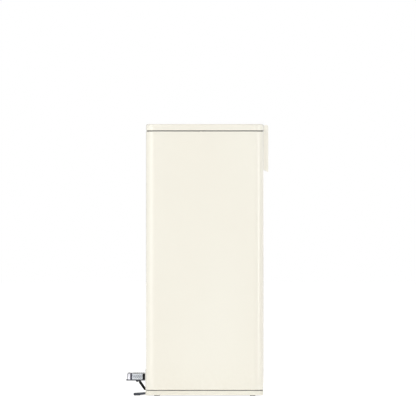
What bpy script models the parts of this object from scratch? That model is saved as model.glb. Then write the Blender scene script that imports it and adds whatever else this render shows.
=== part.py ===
"""Foot-pedal trash compactor for a kitchen: a painted steel cabinet with a lift-out bucket, a pedal
that opens the lid through a lever and a push rod, and a hand press that hangs in the inner lid.

Run it with blender --background --python part.py, or from the text editor.
Metres, +Z up. The front, with the pedal, faces -Y. Z = 0 is the floor, and the origin is under the
middle of the overall length, from the pedal's lip to the back of the hinge housing.
"""

import math

import bmesh
import bpy
from mathutils import Matrix, Vector

# Overall sizes
BODY_WIDTH = 0.305
BODY_DEPTH = 0.294
TOP_Z = 0.680
CORNER_RADIUS = 0.026
PEDAL_REACH = 0.050  # from the cabinet's front to the pedal's lip
HINGE_BULGE = 0.012  # from the cabinet's back to the back of the hinge housing

# Clearances
FIT_GAP = 0.0003  # between pieces that touch on the real object
SLIDE_GAP = 0.0004  # between a pin and its bore, and round a hinge knuckle

# Cabinet, from the floor up
FOOT_HEIGHT = 0.0020
BASE_TRIM_TOP = 0.0133
LOWER_SEAM = 0.0014
UPPER_SEAM = 0.0018
LID_HEIGHT = 0.0161
SHELL_WALL = 0.0008
TRIM_WALL = 0.0028
TRAY_WALL = 0.0022
TRAY_FLOOR_TOP = 0.0050
TRAY_TOP = 0.0340
PLINTH_TOP = 0.0570
PLINTH_WALL = 0.0025
CHANNEL_HALF = 0.033  # half the width of the lever's channel between the plinths

FRONT_Y = -(PEDAL_REACH + BODY_DEPTH + HINGE_BULGE) / 2 + PEDAL_REACH
REAR_Y = FRONT_Y + BODY_DEPTH
HALF_WIDTH = BODY_WIDTH / 2
SHELL_BOTTOM = BASE_TRIM_TOP + LOWER_SEAM
LID_BOTTOM = TOP_Z - LID_HEIGHT
SHELL_TOP = LID_BOTTOM - UPPER_SEAM
INNER_FIT = SHELL_WALL + FIT_GAP  # inset of a piece that lines the shell
ROD_CHANNEL = 0.038  # space behind the bucket for the push rod

# Collar that lines the cabinet's mouth, and the bucket that hangs in it
COLLAR_TOP = SHELL_TOP - 0.0011
COLLAR_HEIGHT = 0.046
COLLAR_WALL = 0.0035
LEDGE_WIDTH = 0.0125
LEDGE_THICKNESS = 0.006
LEDGE_TOP = COLLAR_TOP - 0.021
BUCKET_FLANGE = 0.0085
BUCKET_FLANGE_THICKNESS = 0.0027
BUCKET_WALL = 0.0022
BUCKET_TAPER = 0.008
BUCKET_CORNER = 0.028
BAG_RING_HEIGHT = 0.026
BAG_RING_WALL = 0.003
GRIP_SLOT = (0.090, 0.022)  # the bucket's hand slots, length and height
GRIP_SLOT_DROP = 0.055

# Hinge: the cover and the inner lid turn on one pin, inside the housing's round top
BARREL_RADIUS = (HINGE_BULGE - SLIDE_GAP) / 2
HINGE_Y = REAR_Y + SLIDE_GAP + BARREL_RADIUS
HINGE_Z = TOP_Z - 0.0075
HINGE_PIN_RADIUS = 0.0026
HOUSING_HALF = 0.095
HOUSING_DROP = 0.120  # from the lid's top to the housing's lower edge
HOUSING_WALL = 0.0022
HOUSING_CHIN = 0.006  # how much lower the housing's outer edge hangs
KNUCKLE_WIDTH = 0.014
LID_KNUCKLE_X = 0.048
COVER_KNUCKLE_X = 0.063
ARM_DROP = (0.014, 0.024)  # top and bottom of the inner lid's arms, below the hinge pin
SCREW_X = 0.066
SCREW_SHANK = 0.0020
SCREW_HEAD = 0.0042
SCREW_HEAD_HEIGHT = 0.0024

# Lid crank, push rod and pedal lever
LID_OPEN = math.radians(75)
CRANK_RADIUS = 0.028
CRANK_ANGLE = LID_OPEN / 2  # below level, in front of the hinge pin
CRANK_PIN_RADIUS = 0.0025
YOKE_PLAY = 0.0008  # slot height beyond the pin, each side, which takes up the crank's arc
ROD_RADIUS = 0.003
LEVER_PIVOT_Y = FRONT_Y + 0.070
LEVER_PIVOT_Z = 0.020
LEVER_THICKNESS = 0.0066
LEVER_HALF = 0.010
LEVER_LOW_Z = 0.0165  # middle of the lever where it enters the cabinet
LEVER_END_Z = 0.014
LEVER_PIN_RADIUS = 0.003
LEVER_BOSS_RADIUS = 0.0064
TONGUE_HALF = 0.004
SLOT_HALF = 0.015  # half the width of the front slot for the lever
SLOT_TOP = 0.031

CRANK_Y = HINGE_Y - CRANK_RADIUS * math.cos(CRANK_ANGLE)
CRANK_Z = HINGE_Z - CRANK_RADIUS * math.sin(CRANK_ANGLE)
CRANK_FORWARD = HINGE_Y - CRANK_RADIUS  # the crank pin's furthest forward point
ROD_Y = (CRANK_Y + CRANK_FORWARD) / 2
ROD_RISE = CRANK_RADIUS * (math.sin(CRANK_ANGLE) + math.sin(LID_OPEN - CRANK_ANGLE))
LEVER_REAR = ROD_Y - LEVER_PIVOT_Y
PEDAL_TRAVEL = math.asin(ROD_RISE / LEVER_REAR)

# Pedal
PEDAL_HALF = 0.055
PEDAL_GAP = 0.0028  # from the pedal's back to the cabinet
PEDAL_BOTTOM = 0.0375
PEDAL_TOP = 0.0568
PEDAL_PLATE_THICKNESS = 0.0026
NOSE_DEPTH = 0.0077
NOSE_LIP = 0.0025  # how far the plate runs ahead of the nose
GASKET_DEPTH = 0.0045
REAR_BLOCK_DEPTH = 0.0058
TREAD_THICKNESS = 0.0020

# Stabiliser toe and the surround of the pedal's slot
TOE_HALF = 0.060
TOE_REACH = 0.0327
TOE_THICKNESS = 0.0021  # where the toe enters the cabinet
TOE_PAD_THICKNESS = 0.0013
SURROUND_HALF = 0.068
SURROUND_TOP = 0.065
SURROUND_PROUD = 0.0017

# Inner lid and press
LID_FRAME_GAP = 0.0035  # round the inner lid, inside the collar
LID_FRAME_TOP = SHELL_TOP - 0.0011
LID_FRAME_HEIGHT = 0.016
LID_FRAME_WALL = 0.003
LID_FRAME_REAR = 0.030  # from the cabinet's back to the inner lid's back edge
PRESS_SIDE_RAIL = 0.038  # width of the inner lid's frame beside the press
PRESS_FRONT_RAIL = 0.022
PRESS_REAR_RAIL = 0.050
PRESS_GAP = 0.003
PRESS_WALL = 0.0025
PRESS_DEPTH = 0.060
PRESS_REAR_DEPTH = 0.047
PRESS_OPEN = math.radians(35)
PRESS_PIVOT_BACK = 0.009  # behind the rear edge of the press opening
PRESS_PIVOT_DROP = 0.011
PRESS_PIN_RADIUS = 0.0025
PRESS_LUG_INSET = 0.021  # from the side of the press opening to the middle of a lug
PRESS_LUG_WIDTH = 0.010
PRESS_LUG_RADIUS = 0.006
PRESS_PLATE_THICKNESS = 0.0015
GRIP_TUBE = 0.008
GRIP_HALF = 0.058
SPRING_WIRE = 0.0006
SPRING_TURNS = 4

# Cover and odour filter
COVER_WALL = 0.0015
COVER_EDGE = 0.004
LINER_THICKNESS = 0.003
SEAL_WIDTH = 0.003
SEAL_HEIGHT = 0.00115
FILTER_RADIUS = 0.042
FILTER_HEIGHT = 0.008
CAP_RADIUS = 0.046
FILTER_Y = 0.010

# Damper beside the push rod
DAMPER_X = 0.046
DAMPER_RADIUS = 0.008
DAMPER_BOTTOM = 0.300
DAMPER_HEIGHT = 0.100
DAMPER_ROD_RADIUS = 0.0025
DAMPER_ARM_BOTTOM = 0.413

CORNER_STEPS = 6
ROUND_STEPS = 20


# Scene, materials and small modelling helpers


def make_collection(name):
    collection = bpy.data.collections.new(name)
    bpy.context.scene.collection.children.link(collection)
    return collection


def make_material(name, colour, roughness, metallic=0.0):
    material = bpy.data.materials.new(name)
    material.use_nodes = True
    shader = material.node_tree.nodes["Principled BSDF"]
    shader.inputs["Base Color"].default_value = (*colour, 1.0)
    shader.inputs["Roughness"].default_value = roughness
    shader.inputs["Metallic"].default_value = metallic
    return material


for old in list(bpy.data.objects):
    bpy.data.objects.remove(old, do_unlink=True)
PARTS = make_collection("pedal_trash_compactor")
CUTTERS = make_collection("cutters")

CREAM = make_material("cream_paint", (0.90, 0.87, 0.78), 0.28)
DARK = make_material("dark_grey_plastic", (0.05, 0.05, 0.055), 0.55)
RUBBER = make_material("black_rubber", (0.02, 0.02, 0.022), 0.80)
SLATE = make_material("slate_plastic", (0.07, 0.08, 0.10), 0.50)
BLACK_STEEL = make_material("black_steel", (0.012, 0.012, 0.015), 0.45, 0.6)
ZINC = make_material("zinc_steel", (0.60, 0.61, 0.62), 0.35, 1.0)
STAINLESS = make_material("stainless", (0.62, 0.62, 0.63), 0.25, 1.0)
CHROME = make_material("chrome", (0.80, 0.81, 0.83), 0.06, 1.0)
GREY_RUBBER = make_material("grey_rubber", (0.38, 0.41, 0.44), 0.65)
CARBON = make_material("carbon_felt", (0.03, 0.03, 0.03), 0.95)
WHITE = make_material("white_plastic", (0.82, 0.82, 0.80), 0.40)


def add_object(name, mesh, paint, location=(0, 0, 0)):
    item = bpy.data.objects.new(name, mesh)
    item.location = location
    if paint is None:
        CUTTERS.objects.link(item)
        item.hide_render = True
        item.display_type = "WIRE"
    else:
        PARTS.objects.link(item)
        mesh.materials.append(paint)
        mesh.shade_smooth()
        mesh.set_sharp_from_angle(angle=math.radians(35))
    return item


def mesh_from(build):
    mesh = bpy.data.meshes.new("mesh")
    build.to_mesh(mesh)
    build.free()
    return mesh


def slab(name, x, y, z, paint=None, radius=0.0, top_edge=0.0, shrink=0.0):
    """A box between pairs of limits, with its upright edges rounded by radius, its top edge by
    top_edge, and its lower end narrower than the top by shrink on every side."""
    size = Vector((x[1] - x[0], y[1] - y[0], z[1] - z[0]))
    build = bmesh.new()
    bmesh.ops.create_cube(build, size=1.0)
    bmesh.ops.scale(build, vec=size, verts=build.verts)
    if radius > 0:
        upright = [e for e in build.edges if abs(e.verts[0].co.z - e.verts[1].co.z) > size.z / 2]
        bmesh.ops.bevel(
            build, geom=upright, offset=radius, segments=CORNER_STEPS, profile=0.5, affect="EDGES"
        )
    if top_edge > 0:
        rim = [e for e in build.edges if min(v.co.z for v in e.verts) > size.z / 2 - 1e-6]
        bmesh.ops.bevel(build, geom=rim, offset=top_edge, segments=3, profile=0.5, affect="EDGES")
    if shrink > 0:
        low = [v for v in build.verts if v.co.z < 0]
        narrower = Vector(((size.x - 2 * shrink) / size.x, (size.y - 2 * shrink) / size.y, 1))
        bmesh.ops.scale(build, vec=narrower, verts=low)
    middle = [(a + b) / 2 for a, b in (x, y, z)]
    return add_object(name, mesh_from(build), paint, middle)


def body_slab(name, inset, z, paint=None, **extra):
    """A slab with the cabinet's outline, drawn in by inset."""
    x = (-HALF_WIDTH + inset, HALF_WIDTH - inset)
    y = (FRONT_Y + inset, REAR_Y - inset)
    return slab(name, x, y, z, paint, radius=CORNER_RADIUS - inset, **extra)


def rod(name, radius, start, end, paint=None, steps=ROUND_STEPS):
    """A round bar from one point to another."""
    start, end = Vector(start), Vector(end)
    build = bmesh.new()
    bmesh.ops.create_cone(
        build,
        cap_ends=True,
        segments=steps,
        radius1=radius,
        radius2=radius,
        depth=(end - start).length,
    )
    item = add_object(name, mesh_from(build), paint, (start + end) / 2)
    item.rotation_euler = (end - start).to_track_quat("Z", "Y").to_euler()
    return item


def solid_of_curve(curve_object, paint):
    """The curve as a mesh object with its caps welded on. The curve is removed."""
    bpy.context.view_layer.update()
    graph = bpy.context.evaluated_depsgraph_get()
    mesh = bpy.data.meshes.new_from_object(curve_object.evaluated_get(graph))
    build = bmesh.new()
    build.from_mesh(mesh)
    bmesh.ops.remove_doubles(build, verts=build.verts, dist=1e-6)
    bmesh.ops.recalc_face_normals(build, faces=build.faces)
    name, world = curve_object.name, curve_object.matrix_world.copy()
    bpy.data.objects.remove(curve_object, do_unlink=True)
    item = add_object(name, mesh_from(build), paint)
    item.matrix_world = world
    return item


def side_plate(name, outline, x, paint=None):
    """A flat plate across X, from its outline of (y, z) points."""
    curve = bpy.data.curves.new(name, "CURVE")
    curve.dimensions = "2D"
    curve.fill_mode = "BOTH"
    curve.extrude = (x[1] - x[0]) / 2
    line = curve.splines.new("POLY")
    line.points.add(len(outline) - 1)
    for point, (y, z) in zip(line.points, outline):
        point.co = (y, z, 0, 1)
    line.use_cyclic_u = True
    item = bpy.data.objects.new(name, curve)
    item.rotation_euler = (math.pi / 2, 0, math.pi / 2)
    item.location = ((x[0] + x[1]) / 2, 0, 0)
    PARTS.objects.link(item)
    return solid_of_curve(item, paint)


def tube(name, points, radius, paint, resolution=2):
    """A round tube or wire along points."""
    curve = bpy.data.curves.new(name, "CURVE")
    curve.dimensions = "3D"
    curve.bevel_depth = radius
    curve.bevel_resolution = resolution
    curve.use_fill_caps = True
    line = curve.splines.new("POLY")
    line.points.add(len(points) - 1)
    for point, place in zip(line.points, points):
        point.co = (*place, 1)
    item = bpy.data.objects.new(name, curve)
    PARTS.objects.link(item)
    return solid_of_curve(item, paint)


def arc(centre, radius, first, last, steps):
    """Points (a, b) on an arc, from the first angle to the last, in degrees."""
    angles = [math.radians(first + (last - first) * i / steps) for i in range(steps + 1)]
    return [(centre[0] + radius * math.cos(a), centre[1] + radius * math.sin(a)) for a in angles]


def strip(centreline, thickness):
    """Outline of a bent flat bar: the centreline moved half its thickness to each side."""
    line = [Vector(p) for p in centreline]
    ways = [(b - a).normalized() for a, b in zip(line, line[1:])]
    left, right = [], []
    for i, point in enumerate(line):
        before = ways[max(i - 1, 0)]
        after = ways[min(i, len(ways) - 1)]
        normal = Vector((-(before + after).y, (before + after).x)).normalized()
        reach = thickness / 2 / normal.dot(Vector((-after.y, after.x)))
        left.append(point + normal * reach)
        right.append(point - normal * reach)
    return [tuple(p) for p in left + right[::-1]]


def boolean(target, tools, operation):
    for tool in tools:
        modifier = target.modifiers.new(operation.lower(), "BOOLEAN")
        modifier.operation = operation
        modifier.object = tool


def cut(target, *tools):
    boolean(target, tools, "DIFFERENCE")


def join(target, *tools):
    boolean(target, tools, "UNION")


def box_cutter(name, x, y, z):
    return slab(name + "_cutter", x, y, z)


def side_to_side(x, half):
    """The limits of a strip of that half width, centred on x."""
    return (x - half, x + half)


# Cabinet


def outer_shell():
    """Painted steel wrap, open at the top and bottom."""
    shell = body_slab("outer_shell", 0, (SHELL_BOTTOM, SHELL_TOP), CREAM)
    build = bmesh.new()
    build.from_mesh(shell.data)
    ends = [f for f in build.faces if abs(f.normal.z) > 0.9]
    bmesh.ops.delete(build, geom=ends, context="FACES")
    build.to_mesh(shell.data)
    build.free()
    wall = shell.modifiers.new("wall", "SOLIDIFY")
    wall.thickness = SHELL_WALL
    wall.offset = -1
    wall.use_even_offset = True
    front = (FRONT_Y - 0.005, FRONT_Y + 0.005)
    cut(shell, box_cutter("shell_slot", (-SLOT_HALF, SLOT_HALF), front, (0, SLOT_TOP)))
    rear = (REAR_Y - 0.005, REAR_Y + 0.005)
    for side in (-1, 1):
        arm = side_to_side(side * LID_KNUCKLE_X, KNUCKLE_WIDTH / 2 + 0.001)
        low = HINGE_Z - ARM_DROP[1] - 0.003
        cut(shell, box_cutter(f"shell_arm_{side}", arm, rear, (low, TOP_Z)))
    for x, z in housing_screw_places():
        hole = rod(f"shell_hole_{x:.3f}_{z:.3f}", SCREW_SHANK + SLIDE_GAP, (x, rear[0], z), (x, rear[1], z))
        cut(shell, hole)


def base_trim():
    """Cream skirt round the foot of the cabinet, open at the front where the toe comes out."""
    trim = body_slab("base_trim", 0, (FOOT_HEIGHT, BASE_TRIM_TOP), CREAM)
    cut(trim, body_slab("trim_inside", TRIM_WALL, (0, TOP_Z)))
    gap = TOE_HALF + 0.001
    cut(trim, box_cutter("trim_front", (-gap, gap), (FRONT_Y - 0.01, FRONT_Y + 0.01), (0, 0.05)))


def base_tray():
    """Dark moulding that carries the shell, the bucket and the lever's bracket."""
    bottom = FOOT_HEIGHT + FIT_GAP
    step = BASE_TRIM_TOP + FIT_GAP
    tray = body_slab("base_tray", TRIM_WALL + FIT_GAP, (bottom, step + FIT_GAP), DARK)
    join(tray, body_slab("tray_upper", INNER_FIT, (step, TRAY_TOP)))
    cavity_inset = TRIM_WALL + FIT_GAP + TRAY_WALL
    cut(tray, body_slab("tray_cavity", cavity_inset, (TRAY_FLOOR_TOP, TRAY_TOP + 0.01)))
    plinth_y = (FRONT_Y + 0.040, REAR_Y - ROD_CHANNEL - 0.006)
    for side in (-1, 1):
        edges = sorted((side * CHANNEL_HALF, side * (HALF_WIDTH - 0.024)))
        block = slab(f"plinth_{side}", edges, plinth_y, (bottom + 0.001, PLINTH_TOP), radius=0.008)
        join(tray, block)
        x = (edges[0] + PLINTH_WALL, edges[1] - PLINTH_WALL)
        y = (plinth_y[0] + PLINTH_WALL, plinth_y[1] - PLINTH_WALL)
        cut(tray, slab(f"plinth_hollow_{side}", x, y, (0, PLINTH_TOP - PLINTH_WALL), radius=0.0055))
    front = (FRONT_Y - 0.01, FRONT_Y + cavity_inset + 0.001)
    toe = TOE_HALF + 0.001
    cut(tray, box_cutter("tray_front", (-toe, toe), front, (0, BASE_TRIM_TOP)))
    slot = (FRONT_Y - 0.01, FRONT_Y + 0.045)
    cut(tray, box_cutter("tray_slot", (-SLOT_HALF, SLOT_HALF), slot, (0, TRAY_TOP + 0.01)))


def feet():
    """Four rubber pads under the base."""
    inset = 0.0275
    for side, side_name in ((-1, "left"), (1, "right")):
        for y, end_name in ((FRONT_Y + inset, "front"), (REAR_Y - inset, "rear")):
            x = side * (HALF_WIDTH - inset - 0.004)
            rod(f"foot_{end_name}_{side_name}", 0.0075, (x, y, 0), (x, y, FOOT_HEIGHT), RUBBER)


def stabiliser_toe():
    """Tongue on the floor in front of the cabinet that stops it tipping when the pedal is pressed."""
    tip = FRONT_Y - TOE_REACH
    under = TOE_PAD_THICKNESS + FIT_GAP
    root = TRAY_FLOOR_TOP + FIT_GAP
    top = root + TOE_THICKNESS
    outline = [(FRONT_Y + 0.028, root), (FRONT_Y + 0.028, top), (FRONT_Y - 0.004, top)]
    outline += arc((tip + 0.0027, under + 0.0022), 0.0022, 100, 260, 6)
    outline += [(FRONT_Y - 0.013, under), (FRONT_Y + 0.002, under + 0.0015), (FRONT_Y + 0.003, root)]
    toe = side_plate("stabiliser_toe", outline, (-TOE_HALF, TOE_HALF), SLATE)
    notch = (FRONT_Y - 0.013, FRONT_Y + 0.05)
    cut(toe, box_cutter("toe_notch", side_to_side(0, SLOT_HALF + 0.001), notch, (-0.01, 0.03)))
    pad_y = (tip + 0.0015, FRONT_Y - 0.015)
    slab("toe_pad", side_to_side(0, TOE_HALF - 0.003), pad_y, (0, TOE_PAD_THICKNESS), RUBBER, radius=0.003)
    for side, name in ((-1, "left"), (1, "right")):
        place = Vector((side * TOE_HALF * 0.6, FRONT_Y + 0.019, top + FIT_GAP))
        rod(f"toe_screw_{name}", SCREW_HEAD, place, place + Vector((0, 0, 0.0018)), ZINC, 12)


def pedal_surround():
    """Thin raised frame round the slot that the pedal's arm and the toe come out of."""
    y = (FRONT_Y - SURROUND_PROUD, FRONT_Y - FIT_GAP)
    z = (FOOT_HEIGHT, SURROUND_TOP)
    corner = 0.010
    outline = [(-SURROUND_HALF, z[0]), (SURROUND_HALF, z[0])]
    outline += arc((SURROUND_HALF - corner, z[1] - corner), corner, 0, 90, 5)
    outline += arc((-SURROUND_HALF + corner, z[1] - corner), corner, 90, 180, 5)
    plate = side_plate("pedal_surround", outline, y, CREAM)
    plate.matrix_world = Matrix.Translation((0, sum(y) / 2, 0)) @ Matrix.Rotation(math.pi / 2, 4, "X")
    reach = (FRONT_Y - 0.01, FRONT_Y + 0.01)
    cut(plate, box_cutter("surround_slot", (-SLOT_HALF, SLOT_HALF), reach, (0, SLOT_TOP)))
    toe = TOE_HALF + 0.0006
    toe_top = TRAY_FLOOR_TOP + FIT_GAP + TOE_THICKNESS
    cut(plate, box_cutter("surround_toe", (-toe, toe), reach, (0, toe_top + 0.0006)))


def top_collar():
    """Dark lining of the mouth, with a ledge that the bucket hangs from and a deck at the back."""
    low = COLLAR_TOP - COLLAR_HEIGHT
    collar = body_slab("top_collar", INNER_FIT, (low, COLLAR_TOP), DARK)
    inset = INNER_FIT + COLLAR_WALL
    ledge = inset + LEDGE_WIDTH
    cut(collar, body_slab("collar_mouth", inset, (LEDGE_TOP, TOP_Z)))
    cut(collar, body_slab("collar_under", inset, (0, LEDGE_TOP - LEDGE_THICKNESS)))
    x = (-HALF_WIDTH + ledge, HALF_WIDTH - ledge)
    y = (FRONT_Y + ledge, REAR_Y - ROD_CHANNEL - 0.004)
    cut(collar, slab("collar_opening", x, y, (0, TOP_Z), radius=BUCKET_CORNER))
    shaft = (CRANK_FORWARD - YOKE_HALF_LENGTH - 0.003, REAR_Y - inset - 0.0002)
    cut(collar, box_cutter("collar_shaft", (-0.008, 0.008), shaft, (0, TOP_Z)))
    rear = (REAR_Y - inset - 0.002, REAR_Y)
    for side in (-1, 1):
        arm = side_to_side(side * LID_KNUCKLE_X, KNUCKLE_WIDTH / 2 + 0.001)
        cut(collar, box_cutter(f"collar_arm_{side}", arm, rear, (HINGE_Z - ARM_DROP[1] - 0.003, TOP_Z)))
        x, z = side * SCREW_X, COLLAR_SCREW_Z
        hole = rod(f"collar_hole_{side}", SCREW_SHANK + SLIDE_GAP, (x, rear[0], z), (x, rear[1], z))
        cut(collar, hole)


def bucket():
    """Lift-out bucket, and the ring inside its mouth that holds the bag."""
    inset = INNER_FIT + COLLAR_WALL + 0.001
    flange_x = (-HALF_WIDTH + inset, HALF_WIDTH - inset)
    flange_y = (FRONT_Y + inset, REAR_Y - ROD_CHANNEL)
    low = LEDGE_TOP + FIT_GAP
    high = low + BUCKET_FLANGE_THICKNESS
    x = (flange_x[0] + BUCKET_FLANGE + 0.006, flange_x[1] - BUCKET_FLANGE - 0.006)
    y = (flange_y[0] + BUCKET_FLANGE + 0.006, flange_y[1] - BUCKET_FLANGE)
    bottom = PLINTH_TOP + FIT_GAP
    pail = slab("bucket", x, y, (bottom, high), DARK, radius=BUCKET_CORNER, shrink=BUCKET_TAPER)
    join(pail, slab("bucket_flange", flange_x, flange_y, (low, high - 0.0001), radius=0.020))
    inner_x = (x[0] + BUCKET_WALL, x[1] - BUCKET_WALL)
    inner_y = (y[0] + BUCKET_WALL, y[1] - BUCKET_WALL)
    inner_z = (bottom + BUCKET_WALL, high + 0.001)
    inner = BUCKET_CORNER - BUCKET_WALL
    cut(pail, slab("bucket_inside", inner_x, inner_y, inner_z, radius=inner, shrink=BUCKET_TAPER))
    slot_z = side_to_side(low - GRIP_SLOT_DROP, GRIP_SLOT[1] / 2)
    slot_y = side_to_side(sum(y) / 2, GRIP_SLOT[0] / 2)
    cut(pail, box_cutter("bucket_grips", (-HALF_WIDTH, HALF_WIDTH), slot_y, slot_z))

    ring_top = high - BUCKET_FLANGE_THICKNESS
    ring_low = ring_top - BAG_RING_HEIGHT
    lean = FIT_GAP + BUCKET_TAPER * (high - ring_low) / (high - bottom)  # the taper, at the ring's foot
    ring_x = (inner_x[0] + lean, inner_x[1] - lean)
    ring_y = (inner_y[0] + lean, inner_y[1] - lean)
    ring = slab("bag_ring", ring_x, ring_y, (ring_low, ring_top), WHITE, radius=inner - lean)
    hole_x = (ring_x[0] + BAG_RING_WALL, ring_x[1] - BAG_RING_WALL)
    hole_y = (ring_y[0] + BAG_RING_WALL, ring_y[1] - BAG_RING_WALL)
    cut(ring, slab("ring_hole", hole_x, hole_y, (0, TOP_Z), radius=inner - lean - BAG_RING_WALL))


# Hinge at the back


COLLAR_SCREW_Z = COLLAR_TOP - 0.0345
PLATE_SCREW_Z = COLLAR_TOP - 0.072
YOKE_HALF_LENGTH = 0.008
YOKE_HALF_WIDTH = 0.006


def housing_screw_places():
    return [(side * SCREW_X, z) for side in (-1, 1) for z in (COLLAR_SCREW_Z, PLATE_SCREW_Z)]


def hinge_housing():
    """Cream cover on the back. Its round top is the fixed part of the hinge's barrel."""
    low = TOP_Z - HOUSING_DROP
    inner, outer = REAR_Y + FIT_GAP, REAR_Y + HINGE_BULGE
    outline = [(inner, low + HOUSING_CHIN), (outer, low)]
    outline += arc((HINGE_Y, HINGE_Z), BARREL_RADIUS, 0, 180, 12) + [(inner, HINGE_Z)]
    housing = side_plate("hinge_housing", outline, (-HOUSING_HALF, HOUSING_HALF), CREAM)
    wall = HOUSING_WALL
    roof = HINGE_Z - BARREL_RADIUS - 0.003
    hollow = [(inner - 0.01, low + HOUSING_CHIN + wall), (outer - wall, low + wall * 1.6)]
    hollow += [(outer - wall, roof), (inner - 0.01, roof)]
    inside = HOUSING_HALF - wall
    cut(housing, side_plate("housing_hollow", hollow, (-inside, inside)))
    for x, z in housing_screw_places():
        boss = rod(f"boss_{x:.3f}_{z:.3f}", 0.005, (x, inner + 0.0001, z), (x, outer - wall / 2, z))
        join(housing, boss)
        pilot = SCREW_SHANK + SLIDE_GAP
        cut(housing, rod(f"pilot_{x:.3f}_{z:.3f}", pilot, (x, inner - 0.01, z), (x, outer - wall, z)))
    around = (REAR_Y - 0.01, outer + 0.01)
    for side in (-1, 1):
        for centre, bottom in (
            (side * LID_KNUCKLE_X, HINGE_Z - ARM_DROP[1] - 0.004),
            (side * COVER_KNUCKLE_X, HINGE_Z - BARREL_RADIUS - 0.0006),
        ):
            across = side_to_side(centre, KNUCKLE_WIDTH / 2 + 0.0005)
            cut(housing, box_cutter(f"knuckle_gap_{centre:.3f}", across, around, (bottom, TOP_Z + 0.01)))
    bore = HOUSING_HALF + 0.01
    bore_radius = HINGE_PIN_RADIUS + SLIDE_GAP
    cut(housing, rod("housing_bore", bore_radius, (-bore, HINGE_Y, HINGE_Z), (bore, HINGE_Y, HINGE_Z)))
    reach = HOUSING_HALF - 0.002
    rod("hinge_pin", HINGE_PIN_RADIUS, (-reach, HINGE_Y, HINGE_Z), (reach, HINGE_Y, HINGE_Z), ZINC)


def hinge_fixings():
    """Steel plate inside the back wall, and the four screws that hold the hinge housing."""
    inner = REAR_Y - INNER_FIT
    plate_y = (inner - 0.002, inner)
    plate_z = (PLATE_SCREW_Z - 0.012, PLATE_SCREW_Z + 0.012)
    plate = slab("hinge_back_plate", (-0.085, 0.085), plate_y, plate_z, ZINC)
    names = ("left_upper", "left_lower", "right_upper", "right_lower")
    for (x, z), name in zip(housing_screw_places(), names):
        backing = 0.002 if z == PLATE_SCREW_Z else COLLAR_WALL
        head_y = inner - backing - FIT_GAP
        top = (x, head_y - SCREW_HEAD_HEIGHT, z)
        screw = rod(f"housing_screw_{name}", SCREW_HEAD, top, (x, head_y, z), ZINC, 12)
        tip = (x, REAR_Y + HINGE_BULGE - HOUSING_WALL - 0.001, z)
        join(screw, rod(f"shank_{name}", SCREW_SHANK, (x, head_y - 0.001, z), tip, steps=12))
        if z == PLATE_SCREW_Z:
            hole = rod(f"plate_hole_{name}", SCREW_SHANK + SLIDE_GAP, (x, inner - 0.01, z), (x, REAR_Y, z))
            cut(plate, hole)


# Pedal, lever and push rod


def joint_empty(name, place):
    """An empty on a joint's axis. The pieces that turn or slide there hang from it."""
    empty = bpy.data.objects.new(name, None)
    empty.location = place
    PARTS.objects.link(empty)
    return empty


def hang(empty, *names):
    for name in names:
        item = bpy.data.objects[name]
        bpy.context.view_layer.update()
        world = item.matrix_world.copy()
        item.parent = empty
        item.matrix_parent_inverse = empty.matrix_world.inverted()
        item.matrix_world = world


def pedal_lever():
    """Flat black bar from the pedal, under the bucket, to the foot of the push rod."""
    flange_z = PEDAL_BOTTOM - FIT_GAP - LEVER_THICKNESS / 2
    bend_y = FRONT_Y - 0.0036
    centreline = [(FRONT_Y - 0.026, flange_z), (FRONT_Y - 0.0157, flange_z)]
    centreline += [(bend_y, LEVER_LOW_Z), (LEVER_PIVOT_Y - 0.014, LEVER_LOW_Z)]
    centreline += [(LEVER_PIVOT_Y, LEVER_PIVOT_Z), (LEVER_PIVOT_Y + 0.014, LEVER_PIVOT_Z - 0.001)]
    centreline += [(ROD_Y - 0.002, LEVER_END_Z)]
    outline = strip(centreline, LEVER_THICKNESS)
    lever = side_plate("pedal_lever", outline, (-LEVER_HALF, LEVER_HALF), BLACK_STEEL)
    pivot = (LEVER_PIVOT_Y, LEVER_PIVOT_Z)
    half = LEVER_HALF + 0.002
    join(lever, rod("lever_boss", LEVER_BOSS_RADIUS, (-half, *pivot), (half, *pivot)))
    eye = (ROD_Y, LEVER_END_Z)
    eye_half = LEVER_HALF - 0.0005
    join(lever, rod("lever_eye", LEVER_BOSS_RADIUS, (-eye_half, *eye), (eye_half, *eye)))
    waist = ROD_Y - 0.018
    for side in (-1, 1):
        edges = sorted((side * TONGUE_HALF, side * 0.03))
        cut(lever, box_cutter(f"lever_side_{side}", edges, (waist, ROD_Y + 0.02), (0, 0.05)))
    bore = LEVER_PIN_RADIUS + SLIDE_GAP
    cut(lever, rod("lever_bore", bore, (-0.02, *pivot), (0.02, *pivot)))
    cut(lever, rod("eye_bore", bore, (-0.02, *eye), (0.02, *eye)))
    thin = (FRONT_Y - 0.03, FRONT_Y - 0.018)
    cut(lever, box_cutter("flange_thin", (-0.02, 0.02), thin, (0, PEDAL_BOTTOM - 0.0023)))
    rod("lever_end_pin", LEVER_PIN_RADIUS, (-0.012, *eye), (0.012, *eye), ZINC)


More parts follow.
